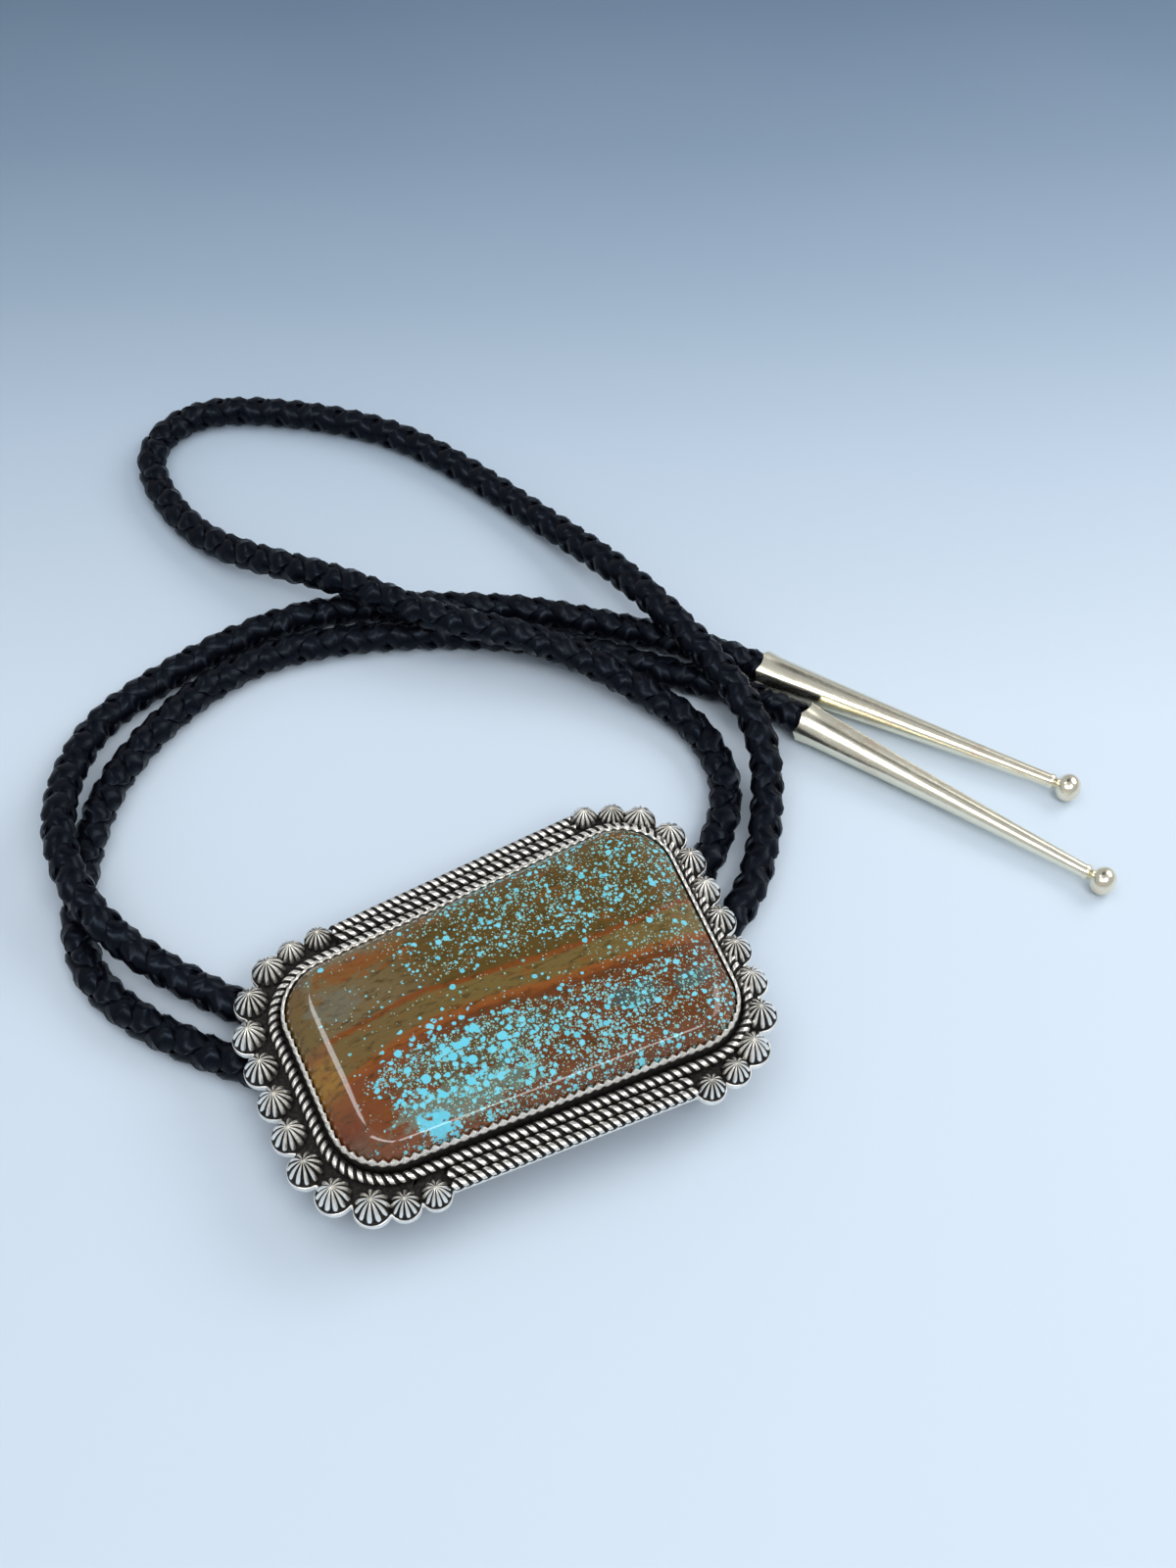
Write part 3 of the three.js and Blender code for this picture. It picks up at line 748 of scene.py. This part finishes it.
def oxidised_silver(slide):
    """Silver with blackened hollows: the wear attribute, roughened by fine grain, says where it is
    bright."""
    name = "Oxidised silver"
    if name in bpy.data.materials:
        return bpy.data.materials[name]
    material, tree, shader = new_material(name, IOR=1.45, Specular_IOR_Level=0.2)
    vector = in_millimetres(tree)
    height, mask = place_grain(tree, vector, 1.6, 1.0)
    wear = add_node(tree, "ShaderNodeAttribute", attribute_name="wear").outputs["Fac"]
    uneven = maths(tree, "MULTIPLY_ADD", maths(tree, "SUBTRACT", height, 0.5), 0.10, wear)
    bright = rise(tree, uneven, 0.32, 0.62)
    silver = mix(tree, mask, tuple(slide.silver), (0.86, 0.83, 0.77))
    oxide = mix(tree, mask, tuple(slide.oxide), (0.034, 0.031, 0.029))
    tree.links.new(mix(tree, bright, oxide, silver), shader.inputs["Base Color"])
    tree.links.new(rise(tree, bright, 0.0, 1.0, 0.55, 0.36), shader.inputs["Roughness"])
    tree.links.new(rise(tree, bright, 0.0, 0.6, 0.35, 1.0), shader.inputs["Metallic"])
    bump(tree, shader, height, 0.000012, 0.5)
    return material


def polished_silver(tip):
    """Hand-polished silver with fine lengthwise scratches and faint warm stains."""
    material, tree, shader = new_material("Polished silver", Metallic=1.0, IOR=1.45)
    uv = tree.nodes.new("ShaderNodeUVMap").outputs[0]
    vector = scaled(tree, uv, (1.0, 24.0, 1.0))
    height, _ = place_grain(tree, vector, 1.3, 0.18)
    spot = in_millimetres(tree)
    stain = rise(tree, noise(tree, spot, 0.16, 3.0, 0.6), 0.5, 0.72)
    warm = mix(tree, stain, tuple(tip.silver), (0.80, 0.69, 0.53))
    tree.links.new(warm, shader.inputs["Base Color"])
    tree.links.new(rise(tree, height, 0.3, 0.75, 0.18, 0.30), shader.inputs["Roughness"])
    bump(tree, shader, height, 0.00003, 0.35)
    return material


def brushed_metal():
    """Plain metal brushed along X, for the clasp on the back."""
    material, tree, shader = new_material("Brushed clasp metal", Metallic=1.0)
    vector = in_millimetres(tree)
    height, mask = place_grain(tree, vector, 3.0, 0.08)
    tree.links.new(mix(tree, mask, (0.60, 0.59, 0.56), (0.48, 0.47, 0.45)), shader.inputs["Base Color"])
    tree.links.new(rise(tree, height, 0.3, 0.7, 0.3, 0.45), shader.inputs["Roughness"])
    bump(tree, shader, height, 0.00004, 0.4)
    return material


def lace_leather(cord):
    """Black leather with a blue cast: fine wrinkles along the lace, pores, and soft paler clouds."""
    material, tree, shader = new_material(
        "Braided leather", IOR=1.45, Specular_IOR_Level=0.16, Specular_Tint=(0.62, 0.77, 1.0, 1.0)
    )
    uv = tree.nodes.new("ShaderNodeUVMap").outputs[0]
    vector = scaled(tree, uv, (1.0, 10.0, 1.0))
    streak, mask = place_grain(tree, vector, 0.9, 0.35)
    spot = in_millimetres(tree)
    pores = add_node(tree, "ShaderNodeTexVoronoi", {"Vector": spot, "Scale": 3.2}).outputs["Distance"]
    cloud = noise(tree, spot, 0.35, 3.0, 0.55)
    paler = mix(tree, rise(tree, cloud, 0.45, 0.7), tuple(cord.leather), (0.0045, 0.0052, 0.0090))
    tree.links.new(mix(tree, mask, paler, (0.0020, 0.0024, 0.0040)), shader.inputs["Base Color"])
    tree.links.new(rise(tree, streak, 0.3, 0.7, 0.22, 0.38), shader.inputs["Roughness"])
    height = maths(tree, "MULTIPLY_ADD", rise(tree, pores, 0.0, 0.5), 0.35, streak)
    bump(tree, shader, height, 0.00005, 0.5)
    return material


def stone_material(stone):
    """Banded olive and brown stone with rust-red veins and turquoise specks. Two veins follow curves of X
    and part the stone into a far field, a band and a near field, each with its own colours. Specks are the
    near parts of scattered cells, each with its own size, and each area has its own share of them."""
    material, tree, shader = new_material("Banded stone", Roughness=0.06, IOR=1.54)
    blend, slope, clouds = partial(mix, tree), partial(rise, tree), partial(noise, tree)
    plus, minus = partial(maths, tree, "ADD"), partial(maths, tree, "SUBTRACT")
    times, most = partial(chain, tree, "MULTIPLY"), partial(chain, tree, "MAXIMUM")
    times_plus = partial(maths, tree, "MULTIPLY_ADD")
    spot = in_millimetres(tree)
    x, y, _ = add_node(tree, "ShaderNodeSeparateXYZ", {0: spot}).outputs
    wander = minus(clouds(scaled(tree, spot, (0.5, 1.0, 1.0)), 0.16, 4.0, 0.6), 0.5)
    ripple = minus(clouds(scaled(tree, spot, (0.6, 1.0, 1.0)), 0.8, 4.0, 0.6), 0.5)
    shake = times_plus(wander, 2.0, times(ripple, 1.1))

    def over_line(heights):
        """Height over a curve of X, whose stops are shares of 10 mm either side of Y = 0."""
        curve = colour_ramp(tree, share_of(tree, x, -34.0, 36.0), heights, "B_SPLINE")
        return plus(minus(y, times_plus(curve, 20.0, -10.0)), shake)

    far_stops = (0.09, 0.68), (0.20, 0.70), (0.29, 0.765), (0.36, 0.72), (0.46, 0.68), (0.58, 0.63)
    near_stops = (0.09, 0.31), (0.20, 0.42), (0.34, 0.465), (0.49, 0.42), (0.63, 0.35), (0.80, 0.31)
    over_far = over_line(((0.0, 0.62), (1.0, 0.64), *far_stops, (0.77, 0.595)))
    over_near = over_line(((0.0, 0.22), (1.0, 0.24), *near_stops))
    to_left = slope(times_plus(wander, 16.0, x), -6.0, -20.0)
    far_field = blend(to_left, (0.105, 0.066, 0.017), (0.165, 0.118, 0.056))
    band = blend(to_left, (0.160, 0.112, 0.036), (0.155, 0.105, 0.040))
    near_field = blend(to_left, (0.135, 0.044, 0.015), (0.185, 0.060, 0.024))
    ground = blend(slope(over_far, -0.3, 0.3), band, far_field)
    ground = blend(slope(over_near, 0.4, -0.6), ground, near_field)
    far_vein = slope(maths(tree, "ABSOLUTE", over_far), 0.85, 0.15, 0.0, 0.85)
    near_vein = slope(maths(tree, "ABSOLUTE", over_near), 1.35, 0.3, 0.0, 0.80)
    ground = blend(far_vein, ground, (0.205, 0.052, 0.012))
    ground = blend(near_vein, ground, (0.270, 0.078, 0.018))

    # The sloping left end has its own bands from near to far
    edge_stops = (
        (0.0, (0.15, 0.13, 0.09)),
        (1.0, (0.15, 0.075, 0.020)),
        (0.20, (0.16, 0.035, 0.010)),
        (0.33, (0.21, 0.070, 0.014)),
        (0.40, (0.29, 0.145, 0.022)),
        (0.50, (0.29, 0.150, 0.024)),
        (0.55, (0.22, 0.085, 0.020)),
        (0.62, (0.15, 0.100, 0.026)),
    )
    edge = colour_ramp(tree, share_of(tree, y, -20.0, 20.0), edge_stops)
    ground = blend(slope(plus(x, ripple), -29.2, -30.6), ground, edge)
    rust = clouds(scaled(tree, spot, (0.5, 1.0, 1.0), (7.0, 3.0, 1.0)), 0.42, 4.0, 0.6)
    ground = blend(slope(rust, 0.54, 0.72, 0.0, 0.65), ground, (0.235, 0.078, 0.016))
    mottle = clouds(scaled(tree, spot, (0.45, 1.2, 1.0)), 0.9, 5.0, 0.65)
    ground = blend(slope(mottle, 0.48, 0.68, 0.0, 0.75), ground, (0.055, 0.034, 0.011))

    def patch(centre_x, centre_y, reach_x, reach_y, ragged, strength):
        """A ragged patch: its strength at its middle and none past its reach."""
        off_x = maths(tree, "DIVIDE", minus(x, centre_x), reach_x)
        off_y = maths(tree, "DIVIDE", minus(y, centre_y), reach_y)
        off = maths(tree, "SQRT", plus(times(off_x, off_x), times(off_y, off_y)))
        return slope(times_plus(ripple, ragged, off), 1.0, 0.7, 0.0, strength)

    # Middle, reach, raggedness, strength and colour of each patch
    for place, colour in (
        ((-20.0, 14.5, 9.0, 2.4, 3.0, 0.60), (0.23, 0.072, 0.014)),
        ((-26.0, 9.0, 5.0, 3.2, 2.6, 0.45), (0.150, 0.165, 0.135)),
        ((18.0, -10.8, 5.5, 2.6, 1.8, 0.85), (0.060, 0.095, 0.090)),
        ((28.0, -11.6, 4.0, 2.0, 1.8, 0.75), (0.065, 0.110, 0.105)),
        ((-13.0, -14.6, 14.0, 3.8, 2.2, 0.55), (0.150, 0.260, 0.210)),
        ((-8.0, -8.5, 17.0, 5.0, 2.6, 0.60), (0.085, 0.090, 0.045)),
    ):
        ground = blend(patch(*place), ground, colour)

    # Share of cells with specks: the near field, the far right field, and a sprinkle elsewhere
    drift = times_plus(wander, 10.0, x)
    near_share = times(
        slope(over_near, -0.8, -3.6),
        slope(drift, -28.0, -21.0),
        slope(x, 10.0, 34.0, 1.0, 0.62),
        slope(y, -19.0, -13.5, 0.60, 1.0),
    )
    far_share = times(slope(over_far, 0.6, 3.5, 0.1, 1.0), slope(drift, -24.0, 6.0), 0.64)
    right_share = slope(x, 4.0, 30.0, 0.0, 0.34)
    clumps = slope(clouds(spot, 0.24, 3.0, 0.6), 0.36, 0.58, 0.40, 1.0)
    share = most(times(most(near_share, far_share), clumps), times(right_share, 0.5), 0.05)
    share = times(share, slope(x, -31.0, -28.5))
    fine_share = most(share, right_share)
    crowd = patch(-12.0, -8.0, 15.0, 8.0, 1.8, 0.88)
    bent = vector_maths(tree, "MULTIPLY", clouds(spot, 1.6, output=1), (0.3, 0.3, 0.3))
    warped = vector_maths(tree, "ADD", spot, bent)

    def specks(scale, size, presence, move):
        """Round spots in scattered cells. A cell holds one where its random value is under the share, and
        its size comes from a second random value."""
        vector = scaled(tree, warped, (1.0, 1.0, 1.0), move)
        cell = add_node(tree, "ShaderNodeTexVoronoi", {"Vector": vector, "Scale": scale}).outputs
        first, second, third = add_node(tree, "ShaderNodeSeparateColor", {0: cell["Color"]}).outputs
        radius = times(times_plus(second, 0.65, 0.35), size)
        inside = slope(minus(cell["Distance"], radius), 0.05, -0.05)
        return times(inside, maths(tree, "LESS_THAN", first, presence)), third

    # Cells in a millimetre, largest radius in cells, share of cells, move, and the two tones of each layer,
    # from dust to heaps
    blue = tuple(stone.speck)
    layers = (
        (3.2, 0.44, times(fine_share, 0.75), (1.7, 8.3, 2.9), (0.40, 0.48, 0.32), (0.26, 0.54, 0.52)),
        (2.1, 0.48, times(fine_share, 0.85), (5.7, 1.9, 3.3), (0.30, 0.44, 0.32), (0.19, 0.56, 0.62)),
        (1.3, 0.48, share, (3.1, 5.2, 0.7), (0.17, 0.46, 0.46), blue),
        (0.78, 0.45, times(share, 0.85), (0.0, 0.0, 0.0), (0.14, 0.57, 0.69), blue),
        (0.62, 0.56, crowd, (9.1, 4.4, 6.2), (0.15, 0.64, 0.80), blue),
    )
    spots = []
    for *cells, first_tone, second_tone in layers:
        inside, tone = specks(*cells)
        ground = blend(inside, ground, blend(tone, first_tone, second_tone))
        spots.append(inside)
    ground = blend(patch(-19.3, -17.2, 2.7, 2.6, 4.5, 0.88), ground, (0.14, 0.62, 0.79))
    tree.links.new(ground, shader.inputs["Base Color"])
    bump(tree, shader, most(*spots[:-1]), 0.00002, 0.25)
    return material


def floor_with_painted_falloff(stage):
    """A pale floor with painted light falloff: it grows bluer and darker with the distance behind the
    object, as painted shade where the light fades, going from the near colour towards the far one by a
    growing power of their ratio."""
    material, tree, shader = new_material("Studio floor", Roughness=0.65)
    coordinates = tree.nodes.new("ShaderNodeTexCoord").outputs["Object"]
    x, y, _ = add_node(tree, "ShaderNodeSeparateXYZ", {0: coordinates}).outputs
    away = maths(tree, "MULTIPLY_ADD", y, math.cos(HEADING), maths(tree, "MULTIPLY", x, math.sin(HEADING)))
    near, far = np.array(stage.near_floor_painted_light), np.array(stage.far_floor_painted_shade)
    # Painted shade: place on the way from 40 mm to 400 mm behind the object, and the power of the darkening
    # there
    powers = ((0.0, 0.0), (1.0, 1.45), (0.08, 0.0), (0.30, 0.24), (0.45, 0.54), (0.62, 0.88), (0.81, 1.2))
    stops = [(place, tuple((near * (far / near) ** power).tolist())) for place, power in powers]
    shade = colour_ramp(tree, share_of(tree, away, 0.04, 0.40), stops)
    cloud = rise(tree, noise(tree, coordinates, 9.0), 0.3, 0.7, 0.0, 0.03)
    tree.links.new(mix(tree, cloud, shade, (0.60, 0.66, 0.74)), shader.inputs["Base Color"])
    return material


# Operators


class BOLO_OT_stage(bpy.types.Operator):
    """Sets up the camera, the pale floor and the soft lights"""

    bl_idname = "bolo_tie.stage"
    bl_label = "Stage"

    def execute(self, context):
        stage, scene = context.scene.bolo_stage, context.scene
        camera = bpy.data.objects.new("camera", bpy.data.cameras.new("camera"))
        scene.collection.objects.link(camera)
        camera.location = VIEWER.tolist()
        camera.rotation_euler = (AIM - camera.location).to_track_quat("-Z", "Y").to_euler()
        camera.data.sensor_width = SENSOR
        camera.data.lens = SENSOR * FOCAL_PIXELS / FRAME_PIXELS
        camera.data.clip_start, camera.data.clip_end = 0.005, 20
        camera.data.dof.use_dof = False
        scene.camera = camera

        reach, level = 2.5, -0.02 * MM
        corners = [(x * reach, y * reach, level) for x, y in ((-1, -1), (1, -1), (1, 1), (-1, 1))]
        mesh = bpy.data.meshes.new("floor")
        mesh.from_pydata(corners, [], [(0, 1, 2, 3)])
        mesh.materials.append(floor_with_painted_falloff(stage))
        floor = bpy.data.objects.new("floor", mesh)
        scene.collection.objects.link(floor)

        # Offset from the slide, size, power and colour of each softbox, whether it gives light, and whether
        # it shows in gloss. Two only show in gloss, as bright lines on the stone, and the last only lights.
        centre = Vector((0.0, 0.0, 0.01))
        warm, cool, white = (1.0, 0.985, 0.96), (0.97, 0.985, 1.0), (1.0, 1.0, 1.0)
        lights = (
            ("right", (0.546, 0.02, 0.42), (0.44, 0.32), stage.right_power, warm, True, True),
            ("left", (-0.163, 0.283, 0.503), (0.12, 0.10), stage.left_power, cool, False, True),
            ("front", (0.075, -0.420, 0.615), (0.32, 0.22), stage.front_power, white, True, True),
            ("corner", (-0.270, -0.150, 0.500), (0.42, 0.15), stage.corner_power, white, False, True),
            ("overhead", (-0.05, 0.06, 0.66), (0.66, 0.66), stage.overhead_power, white, True, False),
        )
        for name, offset, (wide, deep), power, colour, gives_light, in_gloss in lights:
            light = bpy.data.lights.new(name + "_softbox", "AREA")
            light.shape, light.size, light.size_y = "RECTANGLE", wide, deep
            light.energy, light.color = power, colour
            lamp = bpy.data.objects.new(light.name, light)
            lamp.location = centre + Vector(offset)
            lamp.rotation_euler = (-Vector(offset)).to_track_quat("-Z", "Y").to_euler()
            lamp.visible_diffuse, lamp.visible_glossy = gives_light, in_gloss
            scene.collection.objects.link(lamp)

        # A dark card hangs where the stone's flat top mirrors the room
        world = bpy.data.worlds.new("studio")
        world.use_nodes = True
        sky = world.node_tree
        outlook = sky.nodes.new("ShaderNodeTexCoord").outputs["Generated"]
        card_way = {0: outlook, 1: (0.14, 0.47, 0.87)}
        card = add_node(sky, "ShaderNodeVectorMath", card_way, operation="DOT_PRODUCT").outputs[1]
        glow = mix(sky, rise(sky, card, 0.935, 0.972), (0.455, 0.475, 0.50), (0.04, 0.042, 0.045))
        sky.links.new(glow, sky.nodes["Background"].inputs["Color"])
        scene.world = world
        scene.view_settings.view_transform = "Standard"
        return {"FINISHED"}


class BOLO_OT_cord(bpy.types.Operator):
    """Builds the braided leather cord along its route, from tip to tip"""

    bl_idname = "bolo_tie.cord"
    bl_label = "Braided cord"

    def execute(self, context):
        cord, tip = context.scene.bolo_cord, context.scene.bolo_tips
        reach, straight = tip.socket - 0.3 * MM, 1.3 * cord.diameter
        ends = []
        for node in TIP_PLACES:
            mouth, axis = tip_start(tip, node)
            ends.append([mouth + axis * reach, mouth - axis * straight])
        line = CordLine(ends[0] + [np.array(point) for point in CORD_ROUTE] + ends[1][::-1], 0.25 * MM)
        skin = Skin()
        for hand in (1, -1):
            for half in (0, 1):
                rings, along = lace_rings(line, cord, hand, half * TURN / 2 + TURN / 8)
                skin.add(rings, along=along / MM)
        skin.add(core_rings(line, cord.diameter / 2 - cord.weave_depth - cord.lace_thickness))
        piece = make_piece("braided_cord", skin, "cord", lace_leather(cord), sharp=50)
        return {"FINISHED"}


class BOLO_OT_tips(bpy.types.Operator):
    """Builds the two cone tips on the cord's ends"""

    bl_idname = "bolo_tie.tips"
    bl_label = "Cone tips"

    def execute(self, context):
        tip = context.scene.bolo_tips
        material = polished_silver(tip)
        for number, node in enumerate(TIP_PLACES):
            skin = Skin()
            rings, along = tip_rings(tip, node, 0.35 + 0.5 * number)
            skin.add(rings, along=np.append(along, along[-1]) / MM)
            make_piece(node + "_cone", skin, node, material, sharp=40)
        return {"FINISHED"}


class BOLO_OT_back_plate(bpy.types.Operator):
    """Builds the scalloped back plate"""

    bl_idname = "bolo_tie.back_plate"
    bl_label = "Back plate"

    def execute(self, context):
        slide = context.scene.bolo_slide
        skin = Skin()
        skin.add(*plate_rings(slide))
        make_piece("back_plate", skin, "setting", oxidised_silver(slide), sharp=50)
        return {"FINISHED"}


class BOLO_OT_buttons(bpy.types.Operator):
    """Builds the stamped dome buttons round each end"""

    bl_idname = "bolo_tie.buttons"
    bl_label = "Dome buttons"

    def execute(self, context):
        slide = context.scene.bolo_slide
        rim, middle = rim_outline(slide), slide_middle(slide)
        distances, sizes = button_rows(slide, rim)
        places, _ = rim.at(distances)
        base = slide.plate_bottom + slide.plate_thickness
        half = len(distances) // 2
        for name, row in (("buttons_left", range(half)), ("buttons_right", range(half, len(distances)))):
            skin = Skin()
            for number in row:
                grooves = 11 if number % 3 else 12
                skin.add(*button_rings(places[number] - middle, base, sizes[number], grooves, 1.7 * number))
            make_piece(name, skin, "setting", oxidised_silver(slide), sharp=60)
        return {"FINISHED"}


class BOLO_OT_ropes(bpy.types.Operator):
    """Builds the twisted rope wires along the sides and round the bezel"""

    bl_idname = "bolo_tie.ropes"
    bl_label = "Rope wires"

    def execute(self, context):
        slide, stone = context.scene.bolo_slide, context.scene.bolo_stone
        rim, middle = rim_outline(slide), slide_middle(slide)
        reach = button_reach(slide, ALL_STEPS) + slide.side_button / 2 + ROPE_GAP
        sides = {
            "far": (rim.right_middle + reach, rim.left_middle - reach),
            "near": (rim.left_middle + reach, rim.right_middle - reach),
        }
        for row, (place, pitch) in enumerate((("outer", 3.0 * MM), ("middle", 3.5 * MM))):
            for end, distances in sides.items():
                ends, _ = rim.at(np.array(distances))
                run = ends[1] - ends[0]
                length = float(np.linalg.norm(run))
                outward = np.array([run[1], -run[0]]) / length
                along = np.arange(0, length, pitch / 18)
                start = ends[0] - outward * row * slide.rope_spacing - middle
                centre = start + along[:, None] * run / length
                make_rope(f"rope_{place}_{end}", slide, centre, outward, along, pitch)
        outline = stone_outline(stone, slide)
        pitch_at_stone, twist_steps = 2.89 * MM, 16
        twists = round(outline.total / pitch_at_stone)
        distances = np.linspace(0, outline.total, twists * twist_steps, endpoint=False)
        centre, normal = outline.at(distances, slide.inner_rope)
        steps = np.linalg.norm(np.roll(centre, -1, axis=0) - centre, axis=1)
        along = np.cumsum(steps) - steps
        make_rope("rope_inner", slide, centre - middle, normal, along, steps.sum() / twists, wrap=True)
        return {"FINISHED"}


class BOLO_OT_bezel(bpy.types.Operator):
    """Builds the toothed bezel that holds the stone"""

    bl_idname = "bolo_tie.bezel"
    bl_label = "Bezel"

    def execute(self, context):
        """The bezel's wall is a thin upright band carried round the stone. Its top rises and falls as a
        triangle wave of the distance along to the power 1.2, and its tips lean a little over the stone."""
        slide, stone = context.scene.bolo_slide, context.scene.bolo_stone
        outline, middle = stone_outline(stone, slide), slide_middle(slide)
        teeth = round(outline.total / slide.tooth_pitch)
        distances = np.linspace(0, outline.total, teeth * 8, endpoint=False)
        wave = (1 - np.abs(np.mod(distances / outline.total * teeth, 1.0) * 2 - 1)) ** 1.2
        base = slide.plate_bottom + slide.plate_thickness
        gap, foot, rim = 0.3 * MM, base - 0.3 * MM, base + slide.bezel_height
        outer = gap + slide.bezel_wall
        top, lean = rim - 0.4 * MM + wave * 0.85 * MM, wave * 0.25 * MM
        # Distance out from the stone, height and wear, from the inner foot out, up the wall, over the teeth
        # and down the inside
        section = [
            (gap, foot, 0.2),
            (outer, foot, 0.1),
            (outer, base + 0.6 * MM, 0.10),
            (outer, rim - 1.0 * MM, 0.25),
            (outer - 0.08 * MM, rim - 0.7 * MM, 0.30 + 0.35 * wave),
            (outer - 0.16 * MM - lean * 0.6, top - 0.18 * MM, 0.45 + 0.55 * wave),
            (gap + slide.bezel_wall * 0.42 - lean, top, 0.70 + 0.30 * wave),
            (gap - lean, top - 0.15 * MM, 0.8 + 0.2 * wave),
            (gap, rim - 0.8 * MM, 0.4),
        ]
        rings, worn = [], []
        for offset, height, wear in section:
            edge, _ = outline.at(distances, offset)
            rings.append(raised(edge - middle, height))
            worn.append(np.broadcast_to(wear, distances.shape))
        skin = Skin()
        skin.add(np.stack(rings), np.stack(worn), wrap=True)
        make_piece("bezel", skin, "setting", oxidised_silver(slide), sharp=55)
        return {"FINISHED"}


class BOLO_OT_stone(bpy.types.Operator):
    """Builds the polished stone"""

    bl_idname = "bolo_tie.stone"
    bl_label = "Stone"

    def execute(self, context):
        """The stone's outline goes straight up, leans in over a steep shoulder that bends to level near its
        inner edge, and then shrinks to the middle while it rises by the crown height times one less the
        fourth power of the scale. The shoulder's height is the running sum of its slope's tangent, brought
        to the shoulder height, and its width goes from the side inset to the end inset as the square of the
        normal's share along X."""
        slide, stone = context.scene.bolo_slide, context.scene.bolo_stone
        outline, middle = stone_outline(stone, slide), slide_middle(slide)
        distances = np.linspace(0, outline.total, 320, endpoint=False)
        centre = np.array([stone.shift, 0.0])
        _, normal = outline.at(distances)
        width = stone.side_inset + (stone.end_inset - stone.side_inset) * normal[:, 0] ** 2
        rings = []

        def ring(inset, scale, height):
            edge, _ = outline.at(distances, -inset)
            rings.append(raised(centre + (edge - centre) * scale - middle, height))

        ring(0.2 * MM, 1, stone.bottom)
        ring(0.0, 1, stone.bottom + 0.2 * MM)
        share = np.linspace(0, 1, 41)
        # The shoulder's slope in degrees
        slope = 70 - 35 * smooth_step(share, 0.0, 0.30) - 29 * smooth_step(share, 0.50, 1.0)
        climb = np.cumsum(np.tan(np.radians((slope[1:] + slope[:-1]) / 2)))
        climb = np.append(0.0, climb / climb[-1])
        heights = stone.bottom + stone.side_height + stone.shoulder_height * climb
        for part, height in zip(share, heights):
            ring(width * part, 1, height)
        for scale in np.linspace(1, 0.03, 26)[1:]:
            ring(width, scale, heights[-1] + stone.crown_height * (1 - scale**4))
        skin = Skin()
        skin.add(np.stack(rings))
        make_piece("polished_stone", skin, "cabochon", stone_material(stone))
        return {"FINISHED"}


class BOLO_OT_clasp(bpy.types.Operator):
    """Gives the clasp on the back its metal"""

    bl_idname = "bolo_tie.clasp"
    bl_label = "Clasp finish"

    def execute(self, context):
        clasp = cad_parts["cord_clasp"]
        metal = brushed_metal()
        for slot in clasp.material_slots:
            slot.material = metal
        return {"FINISHED"}


STEPS = (
    BOLO_OT_stage,
    BOLO_OT_tips,
    BOLO_OT_cord,
    BOLO_OT_back_plate,
    BOLO_OT_ropes,
    BOLO_OT_bezel,
    BOLO_OT_buttons,
    BOLO_OT_stone,
    BOLO_OT_clasp,
)

SETTINGS = {
    "bolo_cord": BoloCordSettings,
    "bolo_slide": BoloSlideSettings,
    "bolo_stone": BoloStoneSettings,
    "bolo_tips": BoloTipSettings,
    "bolo_stage": BoloStageSettings,
}


class BOLO_PT_panel(bpy.types.Panel):
    """Lists the steps that build the bolo tie"""

    bl_label = "Bolo tie"
    bl_idname = "BOLO_PT_panel"
    bl_space_type = "VIEW_3D"
    bl_region_type = "UI"
    bl_category = "Bolo tie"

    def draw(self, context):
        for step in STEPS:
            self.layout.operator(step.bl_idname)


def register():
    for group in SETTINGS.values():
        bpy.utils.register_class(group)
    for step in (*STEPS, BOLO_PT_panel):
        bpy.utils.register_class(step)
    for name, group in SETTINGS.items():
        setattr(bpy.types.Scene, name, PointerProperty(type=group))


def unregister():
    for name in SETTINGS:
        delattr(bpy.types.Scene, name)
    for step in (BOLO_PT_panel, *reversed(STEPS)):
        bpy.utils.unregister_class(step)
    for group in reversed(SETTINGS.values()):
        bpy.utils.unregister_class(group)


def main():
    register()
    bpy.ops.bolo_tie.stage()
    bpy.ops.bolo_tie.tips()
    bpy.ops.bolo_tie.cord()
    bpy.ops.bolo_tie.back_plate()
    bpy.ops.bolo_tie.ropes()
    bpy.ops.bolo_tie.bezel()
    bpy.ops.bolo_tie.buttons()
    bpy.ops.bolo_tie.stone()
    bpy.ops.bolo_tie.clasp()


if __name__ == "__main__":
    main()
